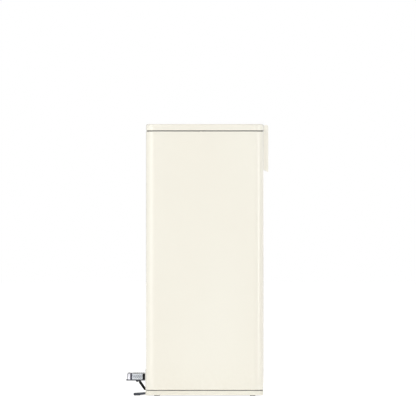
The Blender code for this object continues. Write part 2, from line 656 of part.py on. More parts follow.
def lever_bracket():
    """U-shaped steel bracket on the tray's floor, and the axle that the lever turns on."""
    floor = TRAY_FLOOR_TOP + FIT_GAP
    y = side_to_side(LEVER_PIVOT_Y, 0.011)
    outer = LEVER_HALF + 0.006
    bracket = slab("lever_bracket", (-0.026, 0.026), y, (floor, floor + 0.002), ZINC)
    bore = LEVER_PIN_RADIUS + SLIDE_GAP
    for side in (-1, 1):
        x = sorted((side * (outer - 0.002), side * outer))
        outline = [(y[0], floor + 0.001), (y[1], floor + 0.001)]
        outline += arc((LEVER_PIVOT_Y, LEVER_PIVOT_Z), 0.0065, 0, 180, 10)
        join(bracket, side_plate(f"ear_{side}", outline, x))
        place = Vector((side * 0.021, LEVER_PIVOT_Y, floor + 0.002 + FIT_GAP))
        name = "left" if side < 0 else "right"
        rod(f"bracket_screw_{name}", 0.0036, place, place + Vector((0, 0, 0.0018)), ZINC, 12)
    reach = outer + 0.003
    pivot = (LEVER_PIVOT_Y, LEVER_PIVOT_Z)
    cut(bracket, rod("bracket_bore", bore, (-0.03, *pivot), (0.03, *pivot)))
    rod("lever_axle", LEVER_PIN_RADIUS, (-reach, *pivot), (reach, *pivot), ZINC)


def pedal():
    """The foot pedal: a plate, a bright nose, a grey textured core, a black rear block and a tread."""
    front = FRONT_Y - PEDAL_REACH
    back = FRONT_Y - PEDAL_GAP
    plate_top = PEDAL_BOTTOM + PEDAL_PLATE_THICKNESS
    low = plate_top + FIT_GAP
    across = (-PEDAL_HALF, PEDAL_HALF)
    slab("pedal_plate", across, (front, back), (PEDAL_BOTTOM, plate_top), SLATE)
    nose_y = (front + NOSE_LIP, front + NOSE_LIP + NOSE_DEPTH)
    edge = 0.004
    outline = [(nose_y[0], low), (nose_y[1], low), (nose_y[1], PEDAL_TOP)]
    outline += arc((nose_y[0] + edge, PEDAL_TOP - edge), edge, 90, 180, 6)
    side_plate("pedal_nose", outline, across, CHROME)
    gasket_y = (nose_y[1] + FIT_GAP, nose_y[1] + GASKET_DEPTH)
    inner = (-PEDAL_HALF + 0.001, PEDAL_HALF - 0.001)
    slab("nose_gasket", inner, gasket_y, (low, PEDAL_TOP - 0.001), RUBBER)
    rear_y = (back - REAR_BLOCK_DEPTH, back)
    tread_low = PEDAL_TOP - TREAD_THICKNESS
    core_y = (gasket_y[1] + FIT_GAP, rear_y[0] - FIT_GAP)
    slab("pedal_core", across, core_y, (low, tread_low - FIT_GAP), GREY_RUBBER)
    slab("pedal_rear_block", inner, rear_y, (low, tread_low - FIT_GAP), RUBBER)
    tread_y = (gasket_y[1] + FIT_GAP, back)
    slab("pedal_tread", across, tread_y, (tread_low, PEDAL_TOP), STAINLESS)
    for side, name in ((-1, "left"), (1, "right")):
        place = Vector((side * 0.005, FRONT_Y - 0.0225, PEDAL_BOTTOM - 0.0023 - FIT_GAP))
        rod(f"pedal_screw_{name}", 0.0032, place - Vector((0, 0, 0.0016)), place, ZINC, 12)


def push_rod():
    """Upright rod behind the bucket, with a slotted foot on the lever and a slotted yoke on the crank."""
    foot_low, foot_high = LEVER_END_Z - 0.0065, LEVER_END_Z + 0.018
    y = side_to_side(ROD_Y, 0.0095)
    foot = slab("rod_foot", (-0.0102, 0.0102), y, (foot_low, foot_high), ZINC)
    fork = TONGUE_HALF + 0.0006
    cut(foot, box_cutter("foot_fork", (-fork, fork), (y[0] - 0.01, y[1] + 0.01), (0, LEVER_END_Z + 0.010)))
    slot = LEVER_PIN_RADIUS + SLIDE_GAP
    slot_y = side_to_side(ROD_Y - 0.0008, slot + 0.0018)
    cut(foot, box_cutter("foot_slot", (-0.03, 0.03), slot_y, side_to_side(LEVER_END_Z, slot)))
    yoke_half_height = CRANK_PIN_RADIUS + YOKE_PLAY + 0.002
    yoke_y = side_to_side(ROD_Y, YOKE_HALF_LENGTH)
    yoke_z = side_to_side(CRANK_Z, yoke_half_height)
    yoke = slab("rod_yoke", side_to_side(0, YOKE_HALF_WIDTH), yoke_y, (yoke_z[0] - 0.009, yoke_z[1]), ZINC)
    reach = (CRANK_Y - CRANK_FORWARD) / 2 + CRANK_PIN_RADIUS + SLIDE_GAP
    slot_z = side_to_side(CRANK_Z, CRANK_PIN_RADIUS + YOKE_PLAY)
    cut(yoke, box_cutter("yoke_slot", (-0.02, 0.02), side_to_side(ROD_Y, reach), slot_z))
    corner = box_cutter("yoke_corner", (-0.02, 0.02), side_to_side(0, 0.0014), side_to_side(0, 0.01))
    corner.location = (0, yoke_y[1], yoke_z[1])
    corner.rotation_euler = (math.pi / 4, 0, 0)
    cut(yoke, corner)
    socket = 0.007
    rod_low, rod_high = foot_high - socket, yoke_z[0] - 0.009 + socket
    bore = ROD_RADIUS + FIT_GAP
    cut(foot, rod("foot_socket", bore, (0, ROD_Y, rod_low - FIT_GAP), (0, ROD_Y, foot_high + 0.01)))
    cut(yoke, rod("yoke_socket", bore, (0, ROD_Y, yoke_z[0] - 0.02), (0, ROD_Y, rod_high + FIT_GAP)))
    rod("push_rod", ROD_RADIUS, (0, ROD_Y, rod_low), (0, ROD_Y, rod_high), ZINC, 16)


def rod_guides():
    """Two plastic blocks on the back wall that keep the push rod upright."""
    wall = REAR_Y - INNER_FIT
    for name, low in (("lower", 0.085), ("upper", COLLAR_TOP - COLLAR_HEIGHT - 0.060)):
        z = (low, low + 0.018)
        guide = slab(f"rod_guide_{name}", (-0.014, 0.014), (ROD_Y - 0.008, wall), z, DARK)
        bore = ROD_RADIUS + SLIDE_GAP
        cut(guide, rod(f"guide_bore_{name}", bore, (0, ROD_Y, low - 0.01), (0, ROD_Y, low + 0.03)))


def damper():
    """Soft-close damper: its cylinder is clamped to the back wall and its piston rides with the rod."""
    wall = REAR_Y - INNER_FIT
    x, y = DAMPER_X, ROD_Y - 0.001
    top = DAMPER_BOTTOM + DAMPER_HEIGHT
    cylinder = rod("damper_cylinder", DAMPER_RADIUS, (x, y, DAMPER_BOTTOM), (x, y, top), BLACK_STEEL)
    bore = DAMPER_ROD_RADIUS + SLIDE_GAP
    cut(cylinder, rod("damper_bore", bore, (x, y, DAMPER_BOTTOM + 0.012), (x, y, top + 0.01), steps=16))
    clamp_z = (DAMPER_BOTTOM + 0.025, DAMPER_BOTTOM + 0.045)
    clamp_y = (y - DAMPER_RADIUS - 0.003, wall)
    clamp = slab("damper_bracket", side_to_side(x, 0.012), clamp_y, clamp_z, DARK)
    seat = DAMPER_RADIUS + FIT_GAP
    cut(clamp, rod("clamp_bore", seat, (x, y, clamp_z[0] - 0.01), (x, y, clamp_z[1] + 0.01)))
    piston_low = DAMPER_BOTTOM + 0.016
    piston_high = DAMPER_ARM_BOTTOM - FIT_GAP
    rod("damper_piston", DAMPER_ROD_RADIUS, (x, y, piston_low), (x, y, piston_high), STAINLESS, 16)
    arm_z = (DAMPER_ARM_BOTTOM, DAMPER_ARM_BOTTOM + 0.010)
    arm = slab("damper_arm", (-0.008, x + 0.007), (y - 0.006, y + 0.008), arm_z, ZINC)
    hole = rod("arm_hole", ROD_RADIUS + FIT_GAP, (0, ROD_Y, arm_z[0] - 0.01), (0, ROD_Y, arm_z[1] + 0.01))
    cut(arm, hole)


# Inner lid, press and cover


PRESS_X = (-HALF_WIDTH + INNER_FIT + COLLAR_WALL + LID_FRAME_GAP + PRESS_SIDE_RAIL,
           HALF_WIDTH - INNER_FIT - COLLAR_WALL - LID_FRAME_GAP - PRESS_SIDE_RAIL)
LID_FRAME_FRONT = FRONT_Y + INNER_FIT + COLLAR_WALL + LID_FRAME_GAP + 0.001
PRESS_Y = (LID_FRAME_FRONT + PRESS_FRONT_RAIL, REAR_Y - LID_FRAME_REAR - PRESS_REAR_RAIL)
PRESS_PIVOT = (PRESS_Y[1] + PRESS_PIVOT_BACK, LID_FRAME_TOP - PRESS_PIVOT_DROP)
PRESS_LUG_X = PRESS_X[1] - PRESS_LUG_INSET


def knuckle(name, x, paint=None):
    """A round knuckle on the hinge's axis."""
    half = KNUCKLE_WIDTH / 2
    return rod(name, BARREL_RADIUS, (x - half, HINGE_Y, HINGE_Z), (x + half, HINGE_Y, HINGE_Z), paint)


def inner_lid():
    """Frame inside the mouth that carries the press. Goosenecks at the back reach the hinge pin."""
    inset = INNER_FIT + COLLAR_WALL + LID_FRAME_GAP
    x = (-HALF_WIDTH + inset, HALF_WIDTH - inset)
    y = (LID_FRAME_FRONT, REAR_Y - LID_FRAME_REAR)
    z = (LID_FRAME_TOP - LID_FRAME_HEIGHT, LID_FRAME_TOP)
    frame = slab("inner_lid", x, y, z, DARK, radius=0.018)
    wall = LID_FRAME_WALL
    pocket_z = (z[0] - 0.01, z[1] - wall)
    pocket_x = (x[0] + wall, x[1] - wall)
    pocket_y = (y[0] + wall, y[1] - wall)
    pocket = slab("lid_pocket", pocket_x, pocket_y, pocket_z, radius=0.015)
    core_x = (PRESS_X[0] - wall, PRESS_X[1] + wall)
    core_y = (PRESS_Y[0] - wall, PRESS_Y[1] + wall)
    core_z = (z[0] - 0.02, z[1])
    cut(pocket, slab("pocket_core", core_x, core_y, core_z, radius=0.010))
    cut(frame, pocket)
    pivot_y, pivot_z = PRESS_PIVOT
    boss_y = (PRESS_Y[1] + 0.001, pivot_y + 0.010)
    boss_half = PRESS_LUG_WIDTH / 2 + 0.008
    notch_half = PRESS_LUG_WIDTH / 2 + 0.001
    for side in (-1, 1):
        centre = side * PRESS_LUG_X
        boss_z = (z[0] + 0.0005, z[1] - 0.001)
        join(frame, slab(f"boss_{side}", side_to_side(centre, boss_half), boss_y, boss_z))
    cut(frame, slab("press_opening", PRESS_X, PRESS_Y, (0, TOP_Z), radius=0.008))
    for side in (-1, 1):
        centre = side * PRESS_LUG_X
        notch = side_to_side(centre, notch_half)
        notch_y = (PRESS_Y[1] - 0.005, pivot_y + PRESS_LUG_RADIUS + 0.001)
        cut(frame, box_cutter(f"lug_notch_{side}", notch, notch_y, (0, pivot_z + PRESS_LUG_RADIUS + 0.0008)))
        bore = PRESS_PIN_RADIUS + SLIDE_GAP
        ends = [(centre + way * 0.03, pivot_y, pivot_z) for way in (-1, 1)]
        cut(frame, rod(f"press_bore_{side}", bore, *ends))
        low, high = HINGE_Z - ARM_DROP[1], HINGE_Z - ARM_DROP[0]
        arm = [(y[1] - 0.008, low), (HINGE_Y + 0.001, low), (HINGE_Y + 0.004, low + 0.003)]
        arm += [(HINGE_Y + 0.005, HINGE_Z), (HINGE_Y - 0.005, HINGE_Z), (HINGE_Y - 0.005, high)]
        arm += [(y[1] - 0.008, high)]
        half = KNUCKLE_WIDTH / 2 - 0.0005
        join(frame, side_plate(f"arm_{side}", arm, side_to_side(side * LID_KNUCKLE_X, half)))
        join(frame, knuckle(f"lid_knuckle_{side}", side * LID_KNUCKLE_X))
        ear = [(y[1] - 0.008, z[1] - 0.012), (CRANK_Y, CRANK_Z - 0.005)]
        ear += arc((CRANK_Y, CRANK_Z), 0.005, -60, 90, 6) + [(y[1] - 0.008, CRANK_Z + 0.0045)]
        ear_x = sorted((side * 0.0072, side * 0.0102))
        join(frame, side_plate(f"crank_ear_{side}", ear, ear_x))
    pin_bore = HINGE_PIN_RADIUS + SLIDE_GAP
    span = COVER_KNUCKLE_X + KNUCKLE_WIDTH
    cut(frame, rod("lid_bore", pin_bore, (-span, HINGE_Y, HINGE_Z), (span, HINGE_Y, HINGE_Z)))
    crank_bore = CRANK_PIN_RADIUS + SLIDE_GAP
    cut(frame, rod("crank_bore", crank_bore, (-0.02, CRANK_Y, CRANK_Z), (0.02, CRANK_Y, CRANK_Z)))
    rod("crank_pin", CRANK_PIN_RADIUS, (-0.012, CRANK_Y, CRANK_Z), (0.012, CRANK_Y, CRANK_Z), ZINC, 16)


def press_pins():
    """The two short pins that the press turns on, and the springs round them that lift it."""
    y, z = PRESS_PIVOT
    for side, name in ((-1, "left"), (1, "right")):
        inner = side * (PRESS_LUG_X - PRESS_LUG_WIDTH / 2 - 0.020)
        outer = side * (PRESS_LUG_X + PRESS_LUG_WIDTH / 2 + 0.007)
        rod(f"press_pin_{name}", PRESS_PIN_RADIUS, (inner, y, z), (outer, y, z), ZINC, 16)
        radius = PRESS_PIN_RADIUS + SPRING_WIRE * 2 + SLIDE_GAP
        start = side * (PRESS_LUG_X - PRESS_LUG_WIDTH / 2 - 0.018)
        pitch = side * SPRING_WIRE * 3
        points = []
        for i in range(SPRING_TURNS * 12 + 1):
            turn = 2 * math.pi * i / 12
            points.append((start + pitch * i / 12, y + radius * math.cos(turn), z + radius * math.sin(turn)))
        points.append((points[-1][0], y + radius, z + 0.0058))
        tube(f"press_spring_{name}", points, SPRING_WIRE, STAINLESS, resolution=1)


def press():
    """Tub that the user pushes down by hand: its curved front keeps to a circle about the pivot."""
    x = (PRESS_X[0] + PRESS_GAP, PRESS_X[1] - PRESS_GAP)
    front, rear = PRESS_Y[0] + PRESS_GAP, PRESS_Y[1] - PRESS_GAP
    pivot_y, pivot_z = PRESS_PIVOT
    top = LID_FRAME_TOP - 0.002
    low_front, low_rear = top - PRESS_DEPTH, top - PRESS_REAR_DEPTH

    def outline(inset, rise):
        reach = pivot_y - front - inset
        lowest = low_front + inset
        fall = math.asin((pivot_z - lowest) / reach)
        lift = math.asin((top - pivot_z) / reach)
        steps = 8
        wall = []
        for i in range(steps + 1):
            angle = -lift + (fall + lift) * i / steps
            wall.append((pivot_y - reach * math.cos(angle), pivot_z - reach * math.sin(angle)))
        rear_low = (rear - 0.013 - inset, low_rear + inset)
        lid_line = [(rear - inset, top)]
        if rise:
            lid_line += [(rear - inset, top + rise), (wall[0][0], top + rise)]
        return wall + [rear_low] + lid_line

    tub = side_plate("press_tub", outline(0, 0), x, DARK)
    hollow_x = (x[0] + PRESS_WALL, x[1] - PRESS_WALL)
    for side in (-1, 1):
        half = PRESS_LUG_WIDTH / 2
        centre = side * PRESS_LUG_X
        web = [(rear - 0.010, pivot_z - 0.005), (pivot_y, pivot_z - 0.005)]
        web += [(pivot_y, pivot_z + 0.005), (rear - 0.006, pivot_z + 0.005)]
        join(tub, side_plate(f"press_web_{side}", web, side_to_side(centre, half - 0.0002)))
        ends = [(centre + way * half, pivot_y, pivot_z) for way in (-1, 1)]
        join(tub, rod(f"press_lug_{side}", PRESS_LUG_RADIUS, *ends))
        bore = [(centre + way * 0.02, pivot_y, pivot_z) for way in (-1, 1)]
        cut(tub, rod(f"lug_bore_{side}", PRESS_PIN_RADIUS + SLIDE_GAP, *bore))
    cut(tub, side_plate("press_hollow", outline(PRESS_WALL, 0.02), hollow_x))

    slope = Vector((rear - 0.013, low_rear)) - Vector(outline(0, 0)[8])
    along = slope.normalized()
    drop = Vector((along.y, -along.x)) * (PRESS_PLATE_THICKNESS / 2 + FIT_GAP)
    first = Vector(outline(0, 0)[8]) + along * 0.003 + drop
    last = first + along * (slope.length - 0.006)
    plate_x = (x[0] + 0.004, x[1] - 0.004)
    side_plate("press_plate", strip([first, last], PRESS_PLATE_THICKNESS), plate_x, STAINLESS)

    grip_y = front + 0.040
    floor = low_front + PRESS_WALL + slope.y / slope.x * (grip_y - front) + 0.001
    height = top - 0.012 - GRIP_TUBE
    bend = 0.012
    points = [(-GRIP_HALF, grip_y, floor)]
    points += [(a, grip_y, b) for a, b in arc((-GRIP_HALF + bend, height - bend), bend, 180, 90, 5)]
    points += [(a, grip_y, b) for a, b in arc((GRIP_HALF - bend, height - bend), bend, 90, 0, 5)]
    points += [(GRIP_HALF, grip_y, floor)]
    tube("press_grip", points, GRIP_TUBE, SLATE, resolution=3)


def cover():
    """The lid that shows: a shallow painted pan with a liner, a seal and the odour filter inside."""
    pan = body_slab("cover_shell", 0, (LID_BOTTOM, TOP_Z), CREAM, top_edge=COVER_EDGE)
    cavity_z = (LID_BOTTOM - 0.01, TOP_Z - COVER_WALL)
    cut(pan, body_slab("cover_cavity", COVER_WALL, cavity_z, top_edge=COVER_EDGE - COVER_WALL))
    for side in (-1, 1):
        centre = side * COVER_KNUCKLE_X
        join(pan, knuckle(f"cover_knuckle_{side}", centre))
        neck_z = side_to_side(HINGE_Z, BARREL_RADIUS - 0.0015)
        neck_x = side_to_side(centre, KNUCKLE_WIDTH / 2 - 0.0004)
        neck_y = (REAR_Y - COVER_WALL / 2, HINGE_Y)
        join(pan, box_cutter(f"cover_neck_{side}", neck_x, neck_y, neck_z))
    span = COVER_KNUCKLE_X + KNUCKLE_WIDTH
    bore = HINGE_PIN_RADIUS + SLIDE_GAP
    cut(pan, rod("cover_bore", bore, (-span, HINGE_Y, HINGE_Z), (span, HINGE_Y, HINGE_Z)))

    liner_low = LID_BOTTOM + FIT_GAP
    liner_z = (liner_low, liner_low + LINER_THICKNESS)
    liner = body_slab("cover_liner", COVER_WALL + FIT_GAP, liner_z, WHITE)
    place = (0, FILTER_Y, 0)
    hole = rod("liner_hole", CAP_RADIUS + SLIDE_GAP, place, (0, FILTER_Y, TOP_Z), steps=32)
    cut(liner, hole)
    notch_y = (CRANK_FORWARD, REAR_Y)  # the yoke's top passes here as the lid swings
    cut(liner, box_cutter("liner_notch", side_to_side(0, YOKE_HALF_WIDTH + 0.003), notch_y, (0, TOP_Z)))
    seal_top = LID_BOTTOM - FIT_GAP
    seal = body_slab("lid_seal", 0.0016, (seal_top - SEAL_HEIGHT, seal_top), RUBBER)
    cut(seal, body_slab("seal_inside", 0.0016 + SEAL_WIDTH, (LID_BOTTOM - 0.01, TOP_Z)))
    filter_low = liner_z[1] + 0.0012
    cartridge = ((0, FILTER_Y, filter_low), (0, FILTER_Y, filter_low + FILTER_HEIGHT))
    rod("filter_cartridge", FILTER_RADIUS, *cartridge, CARBON, 32)

    cap = rod("filter_cap", CAP_RADIUS, (0, FILTER_Y, liner_z[0]), (0, FILTER_Y, liner_z[1]), WHITE, 32)
    ridge_z = (liner_z[0] - 0.006, liner_z[0] + 0.001)
    ridge_y = side_to_side(FILTER_Y, 0.003)
    join(cap, slab("cap_ridge", (-0.028, 0.028), ridge_y, ridge_z, radius=0.0028))
    for i in range(6):
        angle = math.radians(30 + 60 * i)
        way = Vector((math.cos(angle), math.sin(angle), 0))
        slot = slab(f"cap_slot_{i}", (-0.009, 0.009), (-0.002, 0.002), (-0.01, 0.01), radius=0.0019)
        slot.location = Vector((0, FILTER_Y, liner_z[0])) + way * 0.029
        slot.rotation_euler = (0, 0, angle)
        cut(cap, slot)


def group_moving_pieces():
    """Hangs each moving piece from an empty on its joint's axis."""
    hang(
        joint_empty("pedal_pivot", (0, LEVER_PIVOT_Y, LEVER_PIVOT_Z)),
        *("pedal_lever pedal_plate pedal_nose nose_gasket pedal_core pedal_rear_block".split()),
        *("pedal_tread lever_end_pin pedal_screw_left pedal_screw_right".split()),
    )
    rod_names = "push_rod rod_yoke rod_foot damper_arm damper_piston".split()
    hang(joint_empty("rod_slide", (0, ROD_Y, LEVER_END_Z)), *rod_names)
    lid = joint_empty("lid_hinge", (0, HINGE_Y, HINGE_Z))
    lid_names = "inner_lid crank_pin press_pin_left press_pin_right press_spring_left press_spring_right"
    hang(lid, *lid_names.split())
    press_hinge = joint_empty("press_hinge", (0, *PRESS_PIVOT))
    hang(press_hinge, *"press_tub press_plate press_grip".split())
    cover_hinge = joint_empty("cover_hinge", (0, HINGE_Y, HINGE_Z))
    hang(cover_hinge, *"cover_shell cover_liner lid_seal filter_cartridge".split())
    twist = joint_empty("filter_cap_twist", (0, FILTER_Y, LID_BOTTOM))
    hang(twist, "filter_cap")
    hang(lid, "press_hinge", "cover_hinge")
    hang(cover_hinge, "filter_cap_twist")


outer_shell()
base_trim()
base_tray()
feet()
stabiliser_toe()
pedal_surround()
top_collar()
bucket()
hinge_housing()
hinge_fixings()
lever_bracket()
pedal_lever()
pedal()
push_rod()
rod_guides()
damper()
inner_lid()
press_pins()
press()
cover()
group_moving_pieces()
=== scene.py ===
from math import asin, cos, pi, radians, sin

import bmesh
import bpy
from mathutils import Matrix, Vector


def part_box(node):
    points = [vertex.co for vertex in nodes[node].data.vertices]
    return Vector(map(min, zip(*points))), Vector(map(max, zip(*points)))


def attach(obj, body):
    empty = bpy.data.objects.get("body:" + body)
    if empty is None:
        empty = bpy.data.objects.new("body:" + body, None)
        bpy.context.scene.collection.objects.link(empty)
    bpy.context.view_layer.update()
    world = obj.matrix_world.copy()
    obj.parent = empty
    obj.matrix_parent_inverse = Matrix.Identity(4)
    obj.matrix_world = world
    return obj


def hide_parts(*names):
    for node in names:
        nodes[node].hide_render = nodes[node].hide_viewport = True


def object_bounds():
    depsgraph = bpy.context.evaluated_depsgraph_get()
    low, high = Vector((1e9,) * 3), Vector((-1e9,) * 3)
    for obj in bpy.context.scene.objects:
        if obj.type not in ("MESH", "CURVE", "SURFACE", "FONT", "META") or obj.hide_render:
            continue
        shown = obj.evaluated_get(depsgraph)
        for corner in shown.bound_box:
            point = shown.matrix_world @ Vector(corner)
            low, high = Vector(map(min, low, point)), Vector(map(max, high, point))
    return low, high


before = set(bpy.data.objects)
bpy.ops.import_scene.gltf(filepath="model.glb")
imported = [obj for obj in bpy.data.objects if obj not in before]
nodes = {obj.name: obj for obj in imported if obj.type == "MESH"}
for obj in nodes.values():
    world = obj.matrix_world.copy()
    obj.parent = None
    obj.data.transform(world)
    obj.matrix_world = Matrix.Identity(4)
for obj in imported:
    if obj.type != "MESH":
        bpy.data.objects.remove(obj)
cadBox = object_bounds()
mm = 0.001
smoothAngle = 35  # degrees; a sharper edge than this stays crisp


def newBlock(low, high, corner=0.0, cornerSteps=12):
    # a box between two corners, with its four upright edges rounded
    bm = bmesh.new()
    low, high = Vector(low), Vector(high)
    bmesh.ops.create_cube(bm, size=1.0)
    bmesh.ops.scale(bm, vec=high - low, verts=bm.verts)
    bmesh.ops.translate(bm, vec=(low + high) / 2, verts=bm.verts)
    if corner:
        upright = [e for e in bm.edges if abs(e.verts[0].co.z - e.verts[1].co.z) > (high.z - low.z) / 2]
        roundEdges(bm, upright, corner, cornerSteps)
    return bm


def roundEdges(bm, edges, width, segments=3, clamp=True):
    bmesh.ops.bevel(bm, geom=list(edges), offset=width, offset_type="OFFSET", segments=segments,
                    profile=0.5, affect="EDGES", clamp_overlap=clamp, material=-1)


def rimEdges(bm, z):
    # the edges that lie at one height
    return [e for e in bm.edges if all(abs(v.co.z - z) < 1e-6 for v in e.verts)]


def sharpEdges(bm, angle=30, shortest=0.0):
    return [e for e in bm.edges
            if len(e.link_faces) == 2 and e.calc_face_angle(0) > radians(angle) and e.calc_length() > shortest]


def capFaces(bm):
    return [f for f in bm.faces if abs(f.normal.z) > 0.999]


def newRing(low, high, corner, wall, cornerSteps=12):
    # a closed ring with the outline of a rounded block
    bm = newBlock(low, high, corner, cornerSteps)
    caps = capFaces(bm)
    bmesh.ops.inset_region(bm, faces=caps, thickness=wall, use_even_offset=True)
    loops = [e for f in caps for e in f.edges]
    bmesh.ops.delete(bm, geom=caps, context="FACES_ONLY")
    bmesh.ops.bridge_loops(bm, edges=[e for e in loops if e.is_valid])
    bmesh.ops.recalc_face_normals(bm, faces=bm.faces)
    return bm


def newProfile(points, x, rounded=None, steps=5):
    # a plate across the width, from its outline of (y, z) points; rounded gives a radius to some of them
    bm = bmesh.new()
    verts = [bm.verts.new((x[0], y, z)) for y, z in points]
    bm.faces.new(verts)
    for index, radius in (rounded or {}).items():
        bmesh.ops.bevel(bm, geom=[verts[index]], offset=radius, offset_type="OFFSET", segments=steps,
                        profile=0.5, affect="VERTICES", clamp_overlap=True, material=-1)
    made = bmesh.ops.extrude_face_region(bm, geom=bm.faces[:])
    moved = [v for v in made["geom"] if isinstance(v, bmesh.types.BMVert)]
    bmesh.ops.translate(bm, vec=(x[1] - x[0], 0, 0), verts=moved)
    bmesh.ops.recalc_face_normals(bm, faces=bm.faces)
    return bm


def cutWindow(bm, low, high):
    # splits the wall along the window's sides and takes out what lies inside
    for axis in range(3):
        for limit in (low[axis], high[axis]):
            near = [f for f in bm.faces
                    if all(min(v.co[i] for v in f.verts) < high[i] + 1e-5
                           and max(v.co[i] for v in f.verts) > low[i] - 1e-5 for i in range(3))]
            parts = set(near) | {e for f in near for e in f.edges} | {v for f in near for v in f.verts}
            place, way = [0, 0, 0], [0, 0, 0]
            place[axis], way[axis] = limit, 1
            bmesh.ops.bisect_plane(bm, geom=list(parts), dist=1e-7, plane_co=place, plane_no=way)
    inside = [f for f in bm.faces
              if all(low[i] - 1e-6 < f.calc_center_median()[i] < high[i] + 1e-6 for i in range(3))]
    bmesh.ops.delete(bm, geom=inside, context="FACES")


def addPin(bm, start, end, radius, segments=24, rim=0.0, rimSteps=2):
    # a round bar between two points, joined into the mesh as its own closed body
    start, end = Vector(start), Vector(end)
    before = set(bm.verts)
    turn = (end - start).to_track_quat("Z", "Y").to_matrix().to_4x4()
    bmesh.ops.create_cone(bm, cap_ends=True, segments=segments, radius1=radius, radius2=radius,
                          depth=(end - start).length, matrix=Matrix.Translation((start + end) / 2) @ turn)
    if rim:
        new = [v for v in bm.verts if v not in before]
        rims = {e for v in new for e in v.link_edges if any(len(f.verts) > 4 for f in e.link_faces)}
        roundEdges(bm, rims, rim, rimSteps)


def addBox(bm, low, high, edge=0.0, segments=2):
    before = set(bm.verts)
    low, high = Vector(low), Vector(high)
    place = Matrix.Translation((low + high) / 2) @ Matrix.Diagonal((high - low).to_4d())
    bmesh.ops.create_cube(bm, size=1.0, matrix=place)
    if edge:
        new = [v for v in bm.verts if v not in before]
        roundEdges(bm, {e for v in new for e in v.link_edges}, edge, segments)


def softCopy(name, width, segments=2, shortest=2.2, clamp=True):
    # a merged copy of a CAD node, with its sharp edges broken by a small radius
    bm = bmesh.new()
    bm.from_mesh(nodes[name].data)
    bmesh.ops.remove_doubles(bm, verts=bm.verts, dist=2e-6)
    bmesh.ops.dissolve_limit(bm, angle_limit=radians(0.6), verts=bm.verts, edges=bm.edges,
                             use_dissolve_boundaries=False)
    roundEdges(bm, sharpEdges(bm, 30, width * shortest), width, segments, clamp)
    return bm


def addPiece(name, bm, body, slot, replaced=(), finish=None):
    # gives a mesh its finish, puts it on its body and takes the place of the nodes that it stands for
    mesh = bpy.data.meshes.new(name)
    bm.to_mesh(mesh)
    bm.free()
    mesh.materials.append(finishes[finish or slot])
    mesh.shade_smooth()
    mesh.set_sharp_from_angle(angle=radians(smoothAngle))
    piece = bpy.data.objects.new(name, mesh)
    bpy.context.scene.collection.objects.link(piece)
    even = piece.modifiers.new("even", "WEIGHTED_NORMAL")  # keeps flat faces flat beside rounded edges
    even.keep_sharp = True
    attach(piece, body)
    if replaced:
        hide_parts(*replaced)


def linear(code):
    # sRGB hex to the linear values that the shaders use
    parts = [int(code[i:i + 2], 16) / 255 for i in (1, 3, 5)]
    return (*[c / 12.92 if c <= 0.04045 else ((c + 0.055) / 1.055) ** 2.4 for c in parts], 1.0)


def addNode(tree, kind, inputs=None, **options):
    node = tree.nodes.new("ShaderNode" + kind)
    for name, value in options.items():
        setattr(node, name, value)
    for name, value in (inputs or {}).items():
        if isinstance(value, bpy.types.NodeSocket):
            tree.links.new(value, node.inputs[name])
        else:
            node.inputs[name].default_value = value
    return node


def startMaterial(name, color, **sockets):
    material = bpy.data.materials.new(name)
    material.use_nodes = True
    tree = material.node_tree
    shader = tree.nodes["Principled BSDF"]
    shader.inputs["Base Color"].default_value = linear(color)
    for socket, value in sockets.items():
        shader.inputs[socket.replace("_", " ")].default_value = value
    return material, tree, shader, addNode(tree, "TexCoord").outputs["Object"]


def cloud(tree, coords, size, low, high, detail=2.0, stretch=(1, 1, 1), spread=(0.35, 0.65)):
    # a soft pattern with cells of that size in mm, between two numbers
    place = addNode(tree, "Mapping", {"Vector": coords, "Scale": stretch})
    noise = addNode(tree, "TexNoise", {"Vector": place.outputs[0], "Scale": 1000 / size, "Detail": detail})
    limits = {"From Min": spread[0], "From Max": spread[1], "To Min": low, "To Max": high}
    return addNode(tree, "MapRange", {"Value": noise.outputs["Fac"], **limits},
                   interpolation_type="SMOOTHSTEP").outputs[0]


def colorBetween(tree, shader, amount, first, second):
    mix = addNode(tree, "Mix", data_type="RGBA")
    tree.links.new(amount, mix.inputs[0])
    for socket, value in ((mix.inputs[6], first), (mix.inputs[7], second)):
        if isinstance(value, bpy.types.NodeSocket):
            tree.links.new(value, socket)
        else:
            socket.default_value = linear(value)
    tree.links.new(mix.outputs[2], shader.inputs["Base Color"])
    return mix.outputs[2]


def relief(tree, shader, height, depth):
    # surface relief of a real depth in mm
    bump = addNode(tree, "Bump", {"Height": height, "Distance": depth * mm, "Strength": 1.0})
    tree.links.new(bump.outputs[0], shader.inputs["Normal"])


def roughen(tree, shader, coords, look, detail=3.0, **pattern):
    # roughness that drifts between the look's two values
    drift = cloud(tree, coords, look["glossMm"], *look["gloss"], detail, **pattern)
    tree.links.new(drift, shader.inputs["Roughness"])


enamelLook = {"color": "#DFDCD1", "warm": "#DDD9CD", "toneMm": 260, "peelMm": 3.0, "peelDepth": 0.010,
              "gloss": (0.285, 0.33), "glossMm": 90,
              "dustTop": 0.09, "dustLow": 0.012, "dustMost": 0.18, "speckMm": 9, "dustColor": "#CFC8B8"}


